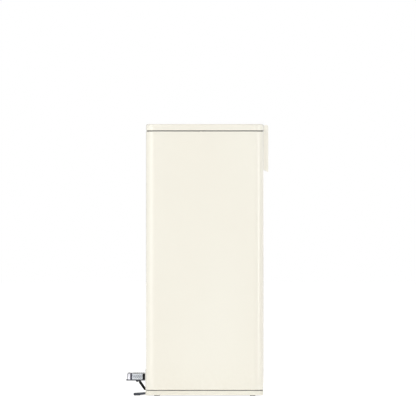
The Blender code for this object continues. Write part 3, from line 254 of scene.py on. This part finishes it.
def makeCreamEnamel():
    # powder-coated steel: even cream, semi-gloss, with a faint orange peel and a little floor dust
    look = enamelLook
    material, tree, shader, coords = startMaterial("creamEnamel", look["color"], IOR=1.5, Coat_Weight=0.5,
                                                   Coat_Roughness=0.1, Coat_IOR=1.5)
    tone = cloud(tree, coords, look["toneMm"], 0.0, 1.0, 1.0, stretch=(1, 1, 0.5), spread=(0.2, 0.8))
    wiped = colorBetween(tree, shader, tone, look["color"], look["warm"])
    height = addNode(tree, "SeparateXYZ", {"Vector": coords}).outputs["Z"]
    low = addNode(tree, "MapRange", {"Value": height, "From Min": look["dustTop"], "From Max": look["dustLow"],
                                     "To Min": 0.0, "To Max": look["dustMost"]}).outputs[0]
    speck = cloud(tree, coords, look["speckMm"], 0.2, 1.0, 4.0)
    dust = addNode(tree, "Math", {0: low, 1: speck}, operation="MULTIPLY").outputs[0]
    colorBetween(tree, shader, dust, wiped, look["dustColor"])
    roughen(tree, shader, coords, look, 1.0, stretch=(1, 1, 0.5), spread=(0.2, 0.8))
    peel = cloud(tree, coords, look["peelMm"], 0.0, 1.0, 1.5)
    relief(tree, shader, peel, look["peelDepth"])
    return material


trimLook = {"color": "#DCD9CD", "warm": "#D9D5C8", "toneMm": 60, "gloss": (0.34, 0.46), "glossMm": 25,
               "grainMm": 0.9, "grainDepth": 0.02}
# the housing's copy of the trim's ABS, painted lighter as painted light to offset the shade it stands in beside
# the cabinet
housingLitLook = {"color": "#F2F0E8", "warm": "#EFECE3", "toneMm": 60, "gloss": (0.34, 0.46), "glossMm": 25,
               "grainMm": 0.9, "grainDepth": 0.02}


def makeCreamAbs(name, look):
    # injection-moulded ABS: the enamel's cream, a touch warmer, with a fine spark-eroded grain
    material, tree, shader, coords = startMaterial(name, look["color"], IOR=1.53, Roughness=0.38)
    tone = cloud(tree, coords, look["toneMm"], 0.0, 1.0, 3.0)
    colorBetween(tree, shader, tone, look["color"], look["warm"])
    roughen(tree, shader, coords, look, 2.0)
    relief(tree, shader, cloud(tree, coords, look["grainMm"], 0.0, 1.0, 2.0), look["grainDepth"])
    return material


charcoalLook = {"color": "#3A3B3E", "worn": "#434447", "grainMm": 1.2, "grainDepth": 0.05,
    "toneMm": 45, "gloss": (0.42, 0.58), "glossMm": 18}


def makeCharcoalPolypropylene():
    # moulded polypropylene: dark grey with a leather-like mould grain, slightly polished where hands rub it
    look = charcoalLook
    material, tree, shader, coords = startMaterial("charcoalPolypropylene", look["color"], IOR=1.49,
                                                   Roughness=0.5)
    rub = cloud(tree, coords, look["toneMm"], 0.0, 1.0, 4.0)
    colorBetween(tree, shader, rub, look["color"], look["worn"])
    roughen(tree, shader, coords, look)
    cells = addNode(tree, "TexVoronoi", {"Vector": coords, "Scale": 1000 / look["grainMm"]},
                    feature="SMOOTH_F1")
    relief(tree, shader, cells.outputs["Distance"], look["grainDepth"])
    return material


whiteLook = {"color": "#E6E5E0", "shade": "#E0DFD9", "grainMm": 1.0, "grainDepth": 0.03,
    "toneMm": 50, "gloss": (0.36, 0.5), "glossMm": 20}


def makeWhitePolypropylene():
    # moulded polypropylene in white: satin, a little see-through under the surface, with a fine grain
    look = whiteLook
    material, tree, shader, coords = startMaterial("whitePolypropylene", look["color"], IOR=1.49,
                                                   Roughness=0.42, Subsurface_Weight=0.08,
                                                   Subsurface_Scale=0.002)
    colorBetween(tree, shader, cloud(tree, coords, look["toneMm"], 0.0, 1.0, 3.0), look["color"], look["shade"])
    roughen(tree, shader, coords, look)
    relief(tree, shader, cloud(tree, coords, look["grainMm"], 0.0, 1.0), look["grainDepth"])
    return material


slateLook = {"color": "#3C3F4A", "fibre": "#4E515C", "fleckMm": 2.2, "grainMm": 0.8, "grainDepth": 0.04,
    "gloss": (0.32, 0.48), "glossMm": 15}


def makeSlateNylon():
    # glass-filled nylon: blue-grey, satin, with short pale flecks of fibre at the surface
    look = slateLook
    material, tree, shader, coords = startMaterial("slateNylon", look["color"], IOR=1.53, Roughness=0.4)
    fleck = cloud(tree, coords, look["fleckMm"], 0.0, 1.0, 3.0, stretch=(0.25, 1, 1), spread=(0.5, 0.72))
    colorBetween(tree, shader, fleck, look["color"], look["fibre"])
    roughen(tree, shader, coords, look)
    relief(tree, shader, cloud(tree, coords, look["grainMm"], 0.0, 1.0), look["grainDepth"])
    return material


rubberLook = {"color": "#0D0D11", "bloom": "#1E1E22", "grainMm": 0.8, "grainDepth": 0.05,
    "toneMm": 12, "gloss": (0.6, 0.82), "glossMm": 8}
sealLook = {"color": "#4A4A57", "bloom": "#575764", "grainMm": 0.8, "grainDepth": 0.04,
    "toneMm": 12, "gloss": (0.6, 0.82), "glossMm": 8}


def makeRubber(name, look):
    # moulded nitrile rubber: dull, with a dusty bloom in patches
    material, tree, shader, coords = startMaterial(name, look["color"], IOR=1.52, Roughness=0.7,
                                                   Specular_IOR_Level=0.25)
    colorBetween(tree, shader, cloud(tree, coords, look["toneMm"], 0.0, 1.0, 4.0, spread=(0.45, 0.75)),
                 look["color"], look["bloom"])
    roughen(tree, shader, coords, look)
    relief(tree, shader, cloud(tree, coords, look["grainMm"], 0.0, 1.0, 3.0), look["grainDepth"])
    return material


coreLook = {"color": "#DCE1E8", "shade": "#D3D8E0", "grainMm": 0.7, "grainDepth": 0.03,
    "toneMm": 10, "gloss": (0.52, 0.7), "glossMm": 6}
# a darker copy of the core's elastomer, used as painted shade round each stud
ringShadeLook = {"color": "#868C96", "shade": "#7A808A", "grainMm": 0.7, "grainDepth": 0.03,
    "toneMm": 10, "gloss": (0.52, 0.7), "glossMm": 6}


def makeElastomer(name, look):
    # thermoplastic elastomer: blue-grey, soft and dull, with a fine suede grain
    material, tree, shader, coords = startMaterial(name, look["color"], IOR=1.5, Roughness=0.6,
                                                   Sheen_Weight=0.15, Sheen_Roughness=0.5)
    colorBetween(tree, shader, cloud(tree, coords, look["toneMm"], 0.0, 1.0, 3.0), look["color"], look["shade"])
    roughen(tree, shader, coords, look)
    relief(tree, shader, cloud(tree, coords, look["grainMm"], 0.0, 1.0, 3.0), look["grainDepth"])
    return material


blackCoatLook = {"color": "#050507", "worn": "#101013", "peelMm": 1.6, "peelDepth": 0.03,
    "toneMm": 14, "gloss": (0.34, 0.5), "glossMm": 9}


def makeBlackPowderCoat():
    # black powder coat on steel: deep black, fine orange peel, thinner and greyer in rubbed patches
    look = blackCoatLook
    material, tree, shader, coords = startMaterial("blackPowderCoat", look["color"], IOR=1.5, Roughness=0.45,
                                                   Specular_IOR_Level=0.3)
    colorBetween(tree, shader, cloud(tree, coords, look["toneMm"], 0.0, 1.0, 4.0, spread=(0.5, 0.8)),
                 look["color"], look["worn"])
    roughen(tree, shader, coords, look)
    relief(tree, shader, cloud(tree, coords, look["peelMm"], 0.0, 1.0), look["peelDepth"])
    return material


zincLook = {"color": "#C4C6C8", "spangle": "#AEB2B6", "crystalMm": 3.5, "pitMm": 0.8, "pitDepth": 0.01,
    "gloss": (0.29, 0.44), "glossMm": 4}


def makeZincSteel():
    # zinc-plated steel: pale grey with faint crystals, fairly bright
    look = zincLook
    material, tree, shader, coords = startMaterial("zincPlatedSteel", look["color"], Metallic=1.0,
                                                   Roughness=0.34)
    crystal = addNode(tree, "TexVoronoi", {"Vector": coords, "Scale": 1000 / look["crystalMm"]})
    shade = addNode(tree, "SeparateColor", {"Color": crystal.outputs["Color"]}).outputs[0]
    colorBetween(tree, shader, shade, look["color"], look["spangle"])
    roughen(tree, shader, coords, look)
    relief(tree, shader, cloud(tree, coords, look["pitMm"], 0.0, 1.0), look["pitDepth"])
    return material


stainlessLook = {"color": "#C9CACC", "dark": "#B4B6B9", "lineMm": 0.5, "lineDepth": 0.01,
    "gloss": (0.285, 0.4), "glossMm": 2}


def makeBrushedStainless():
    # stainless sheet brushed along the width: long fine lines that stretch the highlights across
    look = stainlessLook
    material, tree, shader, coords = startMaterial("brushedStainless", look["color"], Metallic=1.0,
                                                   Roughness=0.3, Anisotropic=0.5)
    lines = cloud(tree, coords, look["lineMm"], 0.0, 1.0, 3.0, stretch=(0.02, 1, 1), spread=(0.3, 0.7))
    colorBetween(tree, shader, lines, look["color"], look["dark"])
    roughen(tree, shader, coords, look, stretch=(0.05, 1, 1))
    relief(tree, shader, lines, look["lineDepth"])
    return material


# darker and lighter copies of the nose's one chrome: the strip's colour is painted shade of a dark edge
# reflection, the bar's is a painted highlight
stripShadeLook = {"color": "#7D7E84", "haze": "#717278", "toneMm": 12, "gloss": (0.05, 0.15), "glossMm": 6,
    "wipeMm": 5, "wipeDepth": 0.004}
barHighlightLook = {"color": "#F4F4FA", "haze": "#EBEBF3", "toneMm": 12, "gloss": (0.05, 0.15), "glossMm": 6,
    "wipeMm": 5, "wipeDepth": 0.004}


def makeSatinChrome(name, look):
    # chrome plating on plastic: near mirror, with a breath of haze and fine wipe marks
    material, tree, shader, coords = startMaterial(name, look["color"], Metallic=1.0, Roughness=0.08)
    colorBetween(tree, shader, cloud(tree, coords, look["toneMm"], 0.0, 1.0, 3.0), look["color"], look["haze"])
    roughen(tree, shader, coords, look, 4.0, stretch=(0.2, 1, 1))
    relief(tree, shader, cloud(tree, coords, look["wipeMm"], 0.0, 1.0), look["wipeDepth"])
    return material


feltLook = {"color": "#1B1B1D", "fibre": "#3A3A3D", "fibreMm": 0.7, "tuftDepth": 0.3}


def makeCarbonFelt():
    # carbon-filled felt: matt black tangle of short fibres
    look = feltLook
    material, tree, shader, coords = startMaterial("carbonFelt", look["color"], Roughness=0.95,
                                                   Sheen_Weight=0.4, Sheen_Roughness=0.6)
    tangle = cloud(tree, coords, look["fibreMm"], 0.0, 1.0, 6.0, stretch=(1, 0.3, 1))
    colorBetween(tree, shader, tangle, look["color"], look["fibre"])
    relief(tree, shader, tangle, look["tuftDepth"])
    return material


finishes = {
    "cream_paint": makeCreamEnamel(),
    "cream_plastic": makeCreamAbs("creamAbs", trimLook),
    "housing_lit_plastic": makeCreamAbs("creamAbsPaintedLight", housingLitLook),
    "dark_plastic": makeCharcoalPolypropylene(),
    "white_plastic": makeWhitePolypropylene(),
    "slate_plastic": makeSlateNylon(),
    "black_rubber": makeRubber("blackRubber", rubberLook),
    "seal_rubber": makeRubber("slateRubber", sealLook),
    "grey_rubber": makeElastomer("paleElastomer", coreLook),
    "ring_painted_shade": makeElastomer("ringPaintedShade", ringShadeLook),
    "black_steel": makeBlackPowderCoat(),
    "zinc_steel": makeZincSteel(),
    "stainless": makeBrushedStainless(),
    "chrome": makeSatinChrome("chromeStripPaintedShade", stripShadeLook),
    "bright_end": makeSatinChrome("chromeBarPaintedHighlight", barHighlightLook),
    "carbon_felt": makeCarbonFelt(),
}
print("finishes ready:", len(finishes))


shellShape = {"corner": 26 * mm, "topHem": 1.8 * mm, "lowHem": 1.1 * mm, "wall": 0.8 * mm,
              "topShy": 0.45 * mm, "lowShy": 0.35 * mm,  # the rolled hems stop short of the flat wall's edges
              "slotHalf": 15 * mm, "slotTop": 31 * mm, "armX": 48 * mm, "armHalf": 8 * mm, "armLow": 645.5 * mm,
              "cutDepth": 4 * mm}


def makeShell():
    # steel wrap whose edges are rolled inwards
    shape = shellShape
    low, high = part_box("outer_shell")
    low.z += shape["lowShy"]
    high.z -= shape["topShy"]
    bm = newBlock(low, high, shape["corner"], 14)
    roundEdges(bm, rimEdges(bm, high.z), shape["topHem"], 4)
    roundEdges(bm, rimEdges(bm, low.z), shape["lowHem"], 3)
    bmesh.ops.delete(bm, geom=capFaces(bm), context="FACES")
    cutWindow(bm, (-shape["slotHalf"], low.y - mm, low.z - mm),
              (shape["slotHalf"], low.y + shape["cutDepth"], shape["slotTop"]))
    for side in (-1, 1):
        middle = side * shape["armX"]
        cutWindow(bm, (middle - shape["armHalf"], high.y - shape["cutDepth"], shape["armLow"]),
                  (middle + shape["armHalf"], high.y + mm, high.z + mm))
    bmesh.ops.solidify(bm, geom=bm.faces[:], thickness=shape["wall"])
    addPiece("shellWrap", bm, "cabinet", "cream_paint", ["outer_shell"])


trimShape = {"corner": 26 * mm, "wall": 2.8 * mm, "gapHalf": 61 * mm, "topEdge": 1.4 * mm, "lowEdge": 1.6 * mm,
             "cutDepth": 8 * mm}


def isOuter(edge, low, high, wall):
    # true for an edge of the outer outline: it runs where two faces meet, one of which faces outwards
    middle = (edge.verts[0].co + edge.verts[1].co) / 2
    centre = Vector(((low.x + high.x) / 2, (low.y + high.y) / 2, middle.z))
    upright = [f for f in edge.link_faces if abs(f.normal.z) < 0.3]
    return any(f.normal.dot(middle - centre) > 0 for f in upright)


def makeBaseTrim():
    # skirt round the foot, open in front for the pedal's toe
    shape = trimShape
    low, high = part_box("base_trim")
    bm = newRing(low, high, shape["corner"], shape["wall"], 14)
    rims = [e for e in rimEdges(bm, high.z) if isOuter(e, low, high, shape["wall"])]
    roundEdges(bm, rims, shape["topEdge"], 4)
    rims = [e for e in rimEdges(bm, low.z) if isOuter(e, low, high, shape["wall"])]
    roundEdges(bm, rims, shape["lowEdge"], 4)
    cutWindow(bm, (-shape["gapHalf"], low.y - mm, low.z - mm),
              (shape["gapHalf"], low.y + shape["cutDepth"], high.z + mm))
    bmesh.ops.holes_fill(bm, edges=[e for e in bm.edges if e.is_boundary], sides=0)
    addPiece("footTrim", bm, "cabinet", "cream_plastic", ["base_trim"])


def makeSurround():
    bm = softCopy("pedal_surround", 0.6 * mm, 3)
    addPiece("pedalSurround", bm, "cabinet", "cream_plastic", ["pedal_surround"])


footShape = {"radius": 7.5 * mm, "edge": 0.5 * mm}


def makeFeet():
    for name in ("foot_front_left", "foot_front_right", "foot_rear_left", "foot_rear_right"):
        low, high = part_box(name)
        middle = (low + high) / 2
        bm = bmesh.new()
        addPin(bm, (middle.x, middle.y, low.z), (middle.x, middle.y, high.z), footShape["radius"], 32,
               footShape["edge"], 3)
        addPiece(name.replace("foot_", "pad_"), bm, "cabinet", "black_rubber", [name])


makeShell()
makeBaseTrim()
makeSurround()
makeFeet()
print("cabinet ready")


coverShape = {"corner": 26 * mm, "topEdge": 4.2 * mm, "lowEdge": 1.1 * mm, "wall": 1.5 * mm}
pinLow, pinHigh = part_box("hinge_pin")
hinge = {"y": pinLow.y / 2 + pinHigh.y / 2, "z": pinLow.z / 2 + pinHigh.z / 2,
         "radius": 5.8 * mm, "width": 14 * mm, "coverX": 63 * mm, "edge": 0.6 * mm,
         "webHalf": 4.3 * mm, "webInset": 0.4 * mm, "webSunk": 0.7 * mm, "webEdge": 0.5 * mm}


def makeCover():
    # pressed steel pan with a rolled lower edge
    shape = coverShape
    low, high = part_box("outer_shell")
    bottom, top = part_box("cover_shell")[0].z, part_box("cover_shell")[1].z
    bm = newBlock((low.x, low.y, bottom), (high.x, high.y, top), shape["corner"], 14)
    roundEdges(bm, rimEdges(bm, top), shape["topEdge"], 6)
    roundEdges(bm, rimEdges(bm, bottom), shape["lowEdge"], 3)
    bmesh.ops.delete(bm, geom=[f for f in bm.faces if f.normal.z < -0.999], context="FACES")
    bmesh.ops.solidify(bm, geom=bm.faces[:], thickness=shape["wall"])
    addPiece("coverPan", bm, "cover", "cream_paint", ["cover_shell"])
    bm = bmesh.new()
    for side in (-1, 1):
        x = side * hinge["coverX"]
        half = hinge["width"] / 2
        addPin(bm, (x - half, hinge["y"], hinge["z"]), (x + half, hinge["y"], hinge["z"]), hinge["radius"], 40,
               hinge["edge"])
        addBox(bm, (x - half + hinge["webInset"], high.y - hinge["webSunk"], hinge["z"] - hinge["webHalf"]),
               (x + half - hinge["webInset"], hinge["y"], hinge["z"] + hinge["webHalf"]), hinge["webEdge"])
    addPiece("coverKnuckles", bm, "cover", "cream_paint")


housingShape = {"edge": 0.9 * mm, "plugStart": 0.05 * mm, "plugEnd": 1.9 * mm, "plugRadius": 3.1 * mm}


def makeHousing():
    shape = housingShape
    bm = softCopy("hinge_housing", shape["edge"], 3, 5.0)
    low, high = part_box("hinge_housing")
    for end, way in ((low.x, 1), (high.x, -1)):  # plugs that close the barrel over the pin's ends
        addPin(bm, (end + way * shape["plugStart"], hinge["y"], hinge["z"]),
               (end + way * shape["plugEnd"], hinge["y"], hinge["z"]), shape["plugRadius"], 24)
    # the housing takes the lighter copy of the ABS: painted light
    addPiece("hingeHousing", bm, "cabinet", "cream_plastic", ["hinge_housing"], finish="housing_lit_plastic")


makeCover()
makeHousing()
print("cover and hinge ready")


noseShape = {"edge": 4.6 * mm, "strip": 1.5 * mm, "rim": 0.35 * mm, "inset": 0.3 * mm}


def makeNose():
    # one chrome bar with a round top edge, drawn as two copies of the same chrome: an inner bar painted lighter
    # as a painted highlight, wrapped at its front and top in a thin strip painted darker as painted shade of
    # the dark edge reflection
    shape = noseShape
    low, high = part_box("pedal_nose")
    strip = shape["strip"]
    outer = [(low.y, low.z), (low.y + strip, low.z), (low.y + strip, high.z - strip), (high.y, high.z - strip),
             (high.y, high.z), (low.y, high.z)]
    bm = newProfile(outer, (low.x + shape["inset"], high.x - shape["inset"]),
                    {5: shape["edge"], 2: shape["edge"] - strip}, 8)
    roundEdges(bm, sharpEdges(bm, 50), shape["rim"] / 2, 2)
    addPiece("noseShadeStrip", bm, "pedal", "chrome", ["pedal_nose"])
    inner = [(low.y + strip, low.z), (high.y, low.z), (high.y, high.z - strip), (low.y + strip, high.z - strip)]
    bm = newProfile(inner, (low.x, high.x), {3: shape["edge"] - strip}, 8)
    roundEdges(bm, sharpEdges(bm, 50), shape["rim"], 3)
    addPiece("noseBar", bm, "pedal", "chrome", finish="bright_end")


coreShape = {"edge": 0.6 * mm, "studRadius": 1.45 * mm, "ring": 0.95 * mm, "proud": 0.5 * mm, "pitch": 5.2 * mm,
             "rows": (9.2 * mm, 4.6 * mm), "count": 5, "sunk": 1 * mm,
             "studEdge": 0.35 * mm, "ringProud": 0.12 * mm}


def makeCore():
    # soft core with two rows of studs at each end, each stud in a thin ring of the same elastomer painted
    # darker: painted shade of the recess round the stud
    shape = coreShape
    low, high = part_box("pedal_core")
    bm = newBlock(low, high)
    roundEdges(bm, bm.edges[:], shape["edge"], 3)
    shadeRings = bmesh.new()
    count = shape["count"]
    first = (low.y + high.y) / 2 - shape["pitch"] * (count - 1) / 2
    for side, x in ((-1, low.x), (1, high.x)):
        for row, rise in enumerate(shape["rows"]):
            for i in range(count - row % 2):
                y = first + shape["pitch"] * (i + 0.5 * (row % 2))
                z = low.z + rise
                base = x - side * shape["sunk"]
                addPin(bm, (base, y, z), (x + side * shape["proud"], y, z), shape["studRadius"], 20,
                       shape["studEdge"])
                # a thin disc round each stud in the darker copy of the elastomer: painted shade
                addPin(shadeRings, (base, y, z), (x + side * shape["ringProud"], y, z),
                       shape["studRadius"] + shape["ring"], 24)
    addPiece("pedalCore", bm, "pedal", "grey_rubber", ["pedal_core"])
    addPiece("coreRingShade", shadeRings, "pedal", "grey_rubber", finish="ring_painted_shade")


treadShape = {"edge": 0.5 * mm, "ribs": 6, "ribHalf": 1.1 * mm, "ribHeight": 0.5 * mm, "inset": 7 * mm,
              "corner": 1.5 * mm, "margin": 4 * mm, "ribSunk": 0.4 * mm, "ribEdge": 0.35 * mm}


def makeTread():
    # brushed plate with rubber ribs set into it
    shape = treadShape
    low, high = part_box("pedal_tread")
    top = high.z - shape["ribHeight"]
    bm = newBlock(low, (high.x, high.y, top), shape["corner"], 4)
    roundEdges(bm, rimEdges(bm, top), shape["edge"], 3)
    addPiece("treadPlate", bm, "pedal", "stainless", ["pedal_tread"])
    ribs = bmesh.new()
    step = (high.y - low.y - 2 * shape["margin"]) / (shape["ribs"] - 1)
    for i in range(shape["ribs"]):
        y = low.y + shape["margin"] + step * i
        addBox(ribs, (low.x + shape["inset"], y - shape["ribHalf"], top - shape["ribSunk"]),
               (high.x - shape["inset"], y + shape["ribHalf"], high.z), shape["ribEdge"], 3)
    addPiece("treadRibs", ribs, "pedal", "black_rubber")


def makePedalBlocks():
    # plain blocks with rounded edges
    for name, piece, slot, finish, edge in (
            ("pedal_plate", "pedalPlate", "slate_plastic", "slate_plastic", 0.6 * mm),
            ("nose_gasket", "noseGasket", "black_rubber", "seal_rubber", 0.5 * mm),
            ("pedal_rear_block", "rearBlock", "black_rubber", "black_rubber", 0.9 * mm)):
        bm = newBlock(*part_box(name))
        roundEdges(bm, bm.edges[:], edge, 3)
        addPiece(piece, bm, "pedal", slot, [name], finish=finish)


makeNose()
makeCore()
makeTread()
makePedalBlocks()
print("pedal ready")


tubShape = {"wall": 2.5 * mm, "edge": 5 * mm, "steps": 8, "rearDepth": 47 * mm, "rearSlope": 13 * mm,
            "lug": 6 * mm, "lugWidth": 10 * mm, "lugInset": 18 * mm, "webHalf": 5 * mm,
            "lugEdge": 0.5 * mm, "webInset": 0.2 * mm, "webSunk": 4 * mm, "webEdge": 0.4 * mm}


def makeTub():
    # moulded tub whose front wall keeps to a circle round its pins, with a lug on each pin
    shape = tubShape
    low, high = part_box("press_tub")
    rear = max(v.co.y for v in nodes["press_tub"].data.vertices if abs(v.co.z - high.z) < 0.01 * mm)
    pivot = (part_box("press_pin_left")[0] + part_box("press_pin_left")[1]) / 2
    reach = pivot.y - low.y
    lift, fall = asin((high.z - pivot.z) / reach), asin((pivot.z - low.z) / reach)
    turns = [-lift + (fall + lift) * i / shape["steps"] for i in range(shape["steps"] + 1)]
    outline = [(pivot.y - reach * cos(turn), pivot.z - reach * sin(turn)) for turn in turns]
    outline += [(rear - shape["rearSlope"], high.z - shape["rearDepth"]), (rear, high.z)]
    bm = newProfile(outline, (low.x, high.x))
    top = [f for f in bm.faces if f.normal.z > 0.99]
    rim = {e for f in top for e in f.edges}
    roundEdges(bm, [e for e in sharpEdges(bm, 25) if e not in rim], shape["edge"], 4)
    bmesh.ops.delete(bm, geom=[f for f in bm.faces if f.normal.z > 0.99], context="FACES")
    bmesh.ops.solidify(bm, geom=bm.faces[:], thickness=shape["wall"])
    for side in (-1, 1):
        middle, half = side * (high.x - shape["lugInset"]), shape["lugWidth"] / 2
        addPin(bm, (middle - half, pivot.y, pivot.z), (middle + half, pivot.y, pivot.z), shape["lug"], 32,
               shape["lugEdge"])
        addBox(bm, (middle - half + shape["webInset"], rear - shape["webSunk"], pivot.z - shape["webHalf"]),
               (middle + half - shape["webInset"], pivot.y, pivot.z + shape["webHalf"]), shape["webEdge"])
    addPiece("pressTub", bm, "press", "dark_plastic", ["press_tub"])


makeTub()
print("press ready")


fullBevel = {"base_tray", "inner_lid", "filter_cap", "lever_bracket", "rod_yoke"}  # bevelled at full width
softened = {
    "pedal_lever": ("pedal", "black_steel", 0.5), "stabiliser_toe": ("cabinet", "slate_plastic", 0.7),
    "toe_pad": ("cabinet", "black_rubber", 0.3), "top_collar": ("cabinet", "dark_plastic", 0.6),
    "bucket": ("cabinet", "dark_plastic", 0.6), "bag_ring": ("cabinet", "white_plastic", 0.7),
    "inner_lid": ("inner_lid", "dark_plastic", 0.6),
    "press_grip": ("press", "slate_plastic", 0.6), "press_plate": ("press", "stainless", 0.4),
    "cover_liner": ("cover", "white_plastic", 0.6), "lid_seal": ("cover", "black_rubber", 0.35),
    "filter_cap": ("filter_cap", "white_plastic", 0.3), "filter_cartridge": ("cover", "carbon_felt", 0.6),
    "base_tray": ("cabinet", "dark_plastic", 0.5), "lever_bracket": ("cabinet", "zinc_steel", 0.3),
    "rod_foot": ("rod", "zinc_steel", 0.3), "rod_yoke": ("rod", "zinc_steel", 0.3),
    "damper_arm": ("rod", "zinc_steel", 0.4), "damper_bracket": ("cabinet", "dark_plastic", 0.6),
    "rod_guide_lower": ("cabinet", "dark_plastic", 0.6), "rod_guide_upper": ("cabinet", "dark_plastic", 0.6),
    "damper_cylinder": ("cabinet", "black_steel", 0.5), "hinge_back_plate": ("cabinet", "zinc_steel", 0.4),
}
for name, (body, slot, width) in softened.items():
    words = name.split("_")
    bm = softCopy(name, width * mm, 3, 5.0, False) if name in fullBevel else softCopy(name, width * mm, 3)
    addPiece(words[0] + "".join(w.title() for w in words[1:]) + "Soft", bm, body, slot, [name])
print("softened copies ready:", len(softened))


kept = {
    "zinc_steel": ["hinge_pin", "lever_axle", "lever_end_pin", "crank_pin", "press_pin_left", "press_pin_right",
                   "push_rod", "bracket_screw_left", "bracket_screw_right", "toe_screw_left", "toe_screw_right",
                   "pedal_screw_left", "pedal_screw_right", "housing_screw_left_upper",
                   "housing_screw_left_lower",
                   "housing_screw_right_upper", "housing_screw_right_lower"],
    "stainless": ["damper_piston", "press_spring_left", "press_spring_right"],
}
for slot, names in kept.items():
    for name in names:
        data = nodes[name].data
        data.materials.clear()
        data.materials.append(finishes[slot])
print("kept nodes finished")


studio = {"lens": 1400.0, "sensor": 36.0, "viewWidth": 1.04, "aimY": 0.027, "aimZ": 0.470,
          "brightWay": (0.9, -0.45, 0.0), "brightSpan": 0.6, "worldFront": 0.57, "worldBack": 0.36,
          "floorColor": "#F6F6F4", "floorShade": "#F4F4F2", "floorMm": 900,
          "floorGlow": 0.60, "floorHalf": 60.0}
softBoxes = {
    "frontBox": {"place": (1.5, -2.3, 1.0), "aim": (0, 0, 0.35), "size": (1.7, 2.4), "power": 25},
    "rearBox": {"place": (1.2, 2.36, 1.0), "aim": (0, 0, 0.35), "size": (0.55, 2.4), "power": 18},
    "highBox": {"place": (2.3, -0.2, 2.6), "aim": (0, 0, 0.4), "size": (2.4, 0.7), "power": 9},
    "topBox": {"place": (0.2, -0.1, 2.7), "aim": (0.1, 0, 0.6), "size": (1.8, 1.8), "power": 15},
    "fillBox": {"place": (-2.4, 1.4, 1.3), "aim": (0, 0, 0.35), "size": (1.4, 2.0), "power": 8},
}


def makeFloor():
    bm = bmesh.new()
    bmesh.ops.create_grid(bm, x_segments=1, y_segments=1, size=studio["floorHalf"])
    mesh = bpy.data.meshes.new("paleFloor")
    bm.to_mesh(mesh)
    bm.free()
    material, tree, shader, coords = startMaterial("paleFloorPaint", studio["floorColor"], Roughness=1.0,
                                                   Specular_IOR_Level=0.0, Emission_Color=(1, 1, 1, 1),
                                                   Emission_Strength=studio["floorGlow"])
    colorBetween(tree, shader, cloud(tree, coords, studio["floorMm"], 0.0, 1.0),
                 studio["floorColor"], studio["floorShade"])
    mesh.materials.append(material)
    floor = bpy.data.objects.new("paleFloor", mesh)
    bpy.context.scene.collection.objects.link(floor)


def makeWorld():
    # an even white room, brightest on the pedal's side; the backdrop itself is plain white
    world = bpy.data.worlds.new("whiteRoom")
    bpy.context.scene.world = world
    world.use_nodes = True
    tree = world.node_tree
    background = tree.nodes["Background"]
    background.inputs["Color"].default_value = (1, 1, 1, 1)
    coords = addNode(tree, "TexCoord").outputs["Generated"]
    way = addNode(tree, "VectorMath", {0: coords, 1: studio["brightWay"]},
                  operation="DOT_PRODUCT").outputs["Value"]
    span = studio["brightSpan"]
    room = addNode(tree, "MapRange", {"Value": way, "From Min": -span, "From Max": span,
                                      "To Min": studio["worldBack"], "To Max": studio["worldFront"]}).outputs[0]
    seen = addNode(tree, "LightPath").outputs["Is Camera Ray"]
    strength = addNode(tree, "Mix", {0: seen, 2: room, 3: 1.0}).outputs[0]
    tree.links.new(strength, background.inputs["Strength"])


def addSoftBox(name, place, aim, size, power):
    light = bpy.data.lights.new(name, "AREA")
    light.shape = "RECTANGLE"
    light.size, light.size_y = size
    light.energy = power
    lamp = bpy.data.objects.new(name, light)
    lamp.location = place
    lamp.rotation_euler = (Vector(aim) - Vector(place)).to_track_quat("-Z", "Y").to_euler()
    bpy.context.scene.collection.objects.link(lamp)


def makeCamera():
    cameraData = bpy.data.cameras.new("sideCamera")
    cameraData.lens = studio["lens"]
    cameraData.sensor_width = studio["sensor"]
    cameraData.clip_end = 200.0
    camera = bpy.data.objects.new("sideCamera", cameraData)
    distance = studio["viewWidth"] * studio["lens"] / studio["sensor"]
    camera.location = (cadBox[1].x + distance, studio["aimY"], studio["aimZ"])
    camera.rotation_euler = (pi / 2, 0, pi / 2)
    bpy.context.scene.collection.objects.link(camera)
    bpy.context.scene.camera = camera


makeFloor()
makeWorld()
for name, box in softBoxes.items():
    addSoftBox(name, **box)
makeCamera()
bpy.context.scene.view_settings.view_transform = "Standard"
print("studio ready")
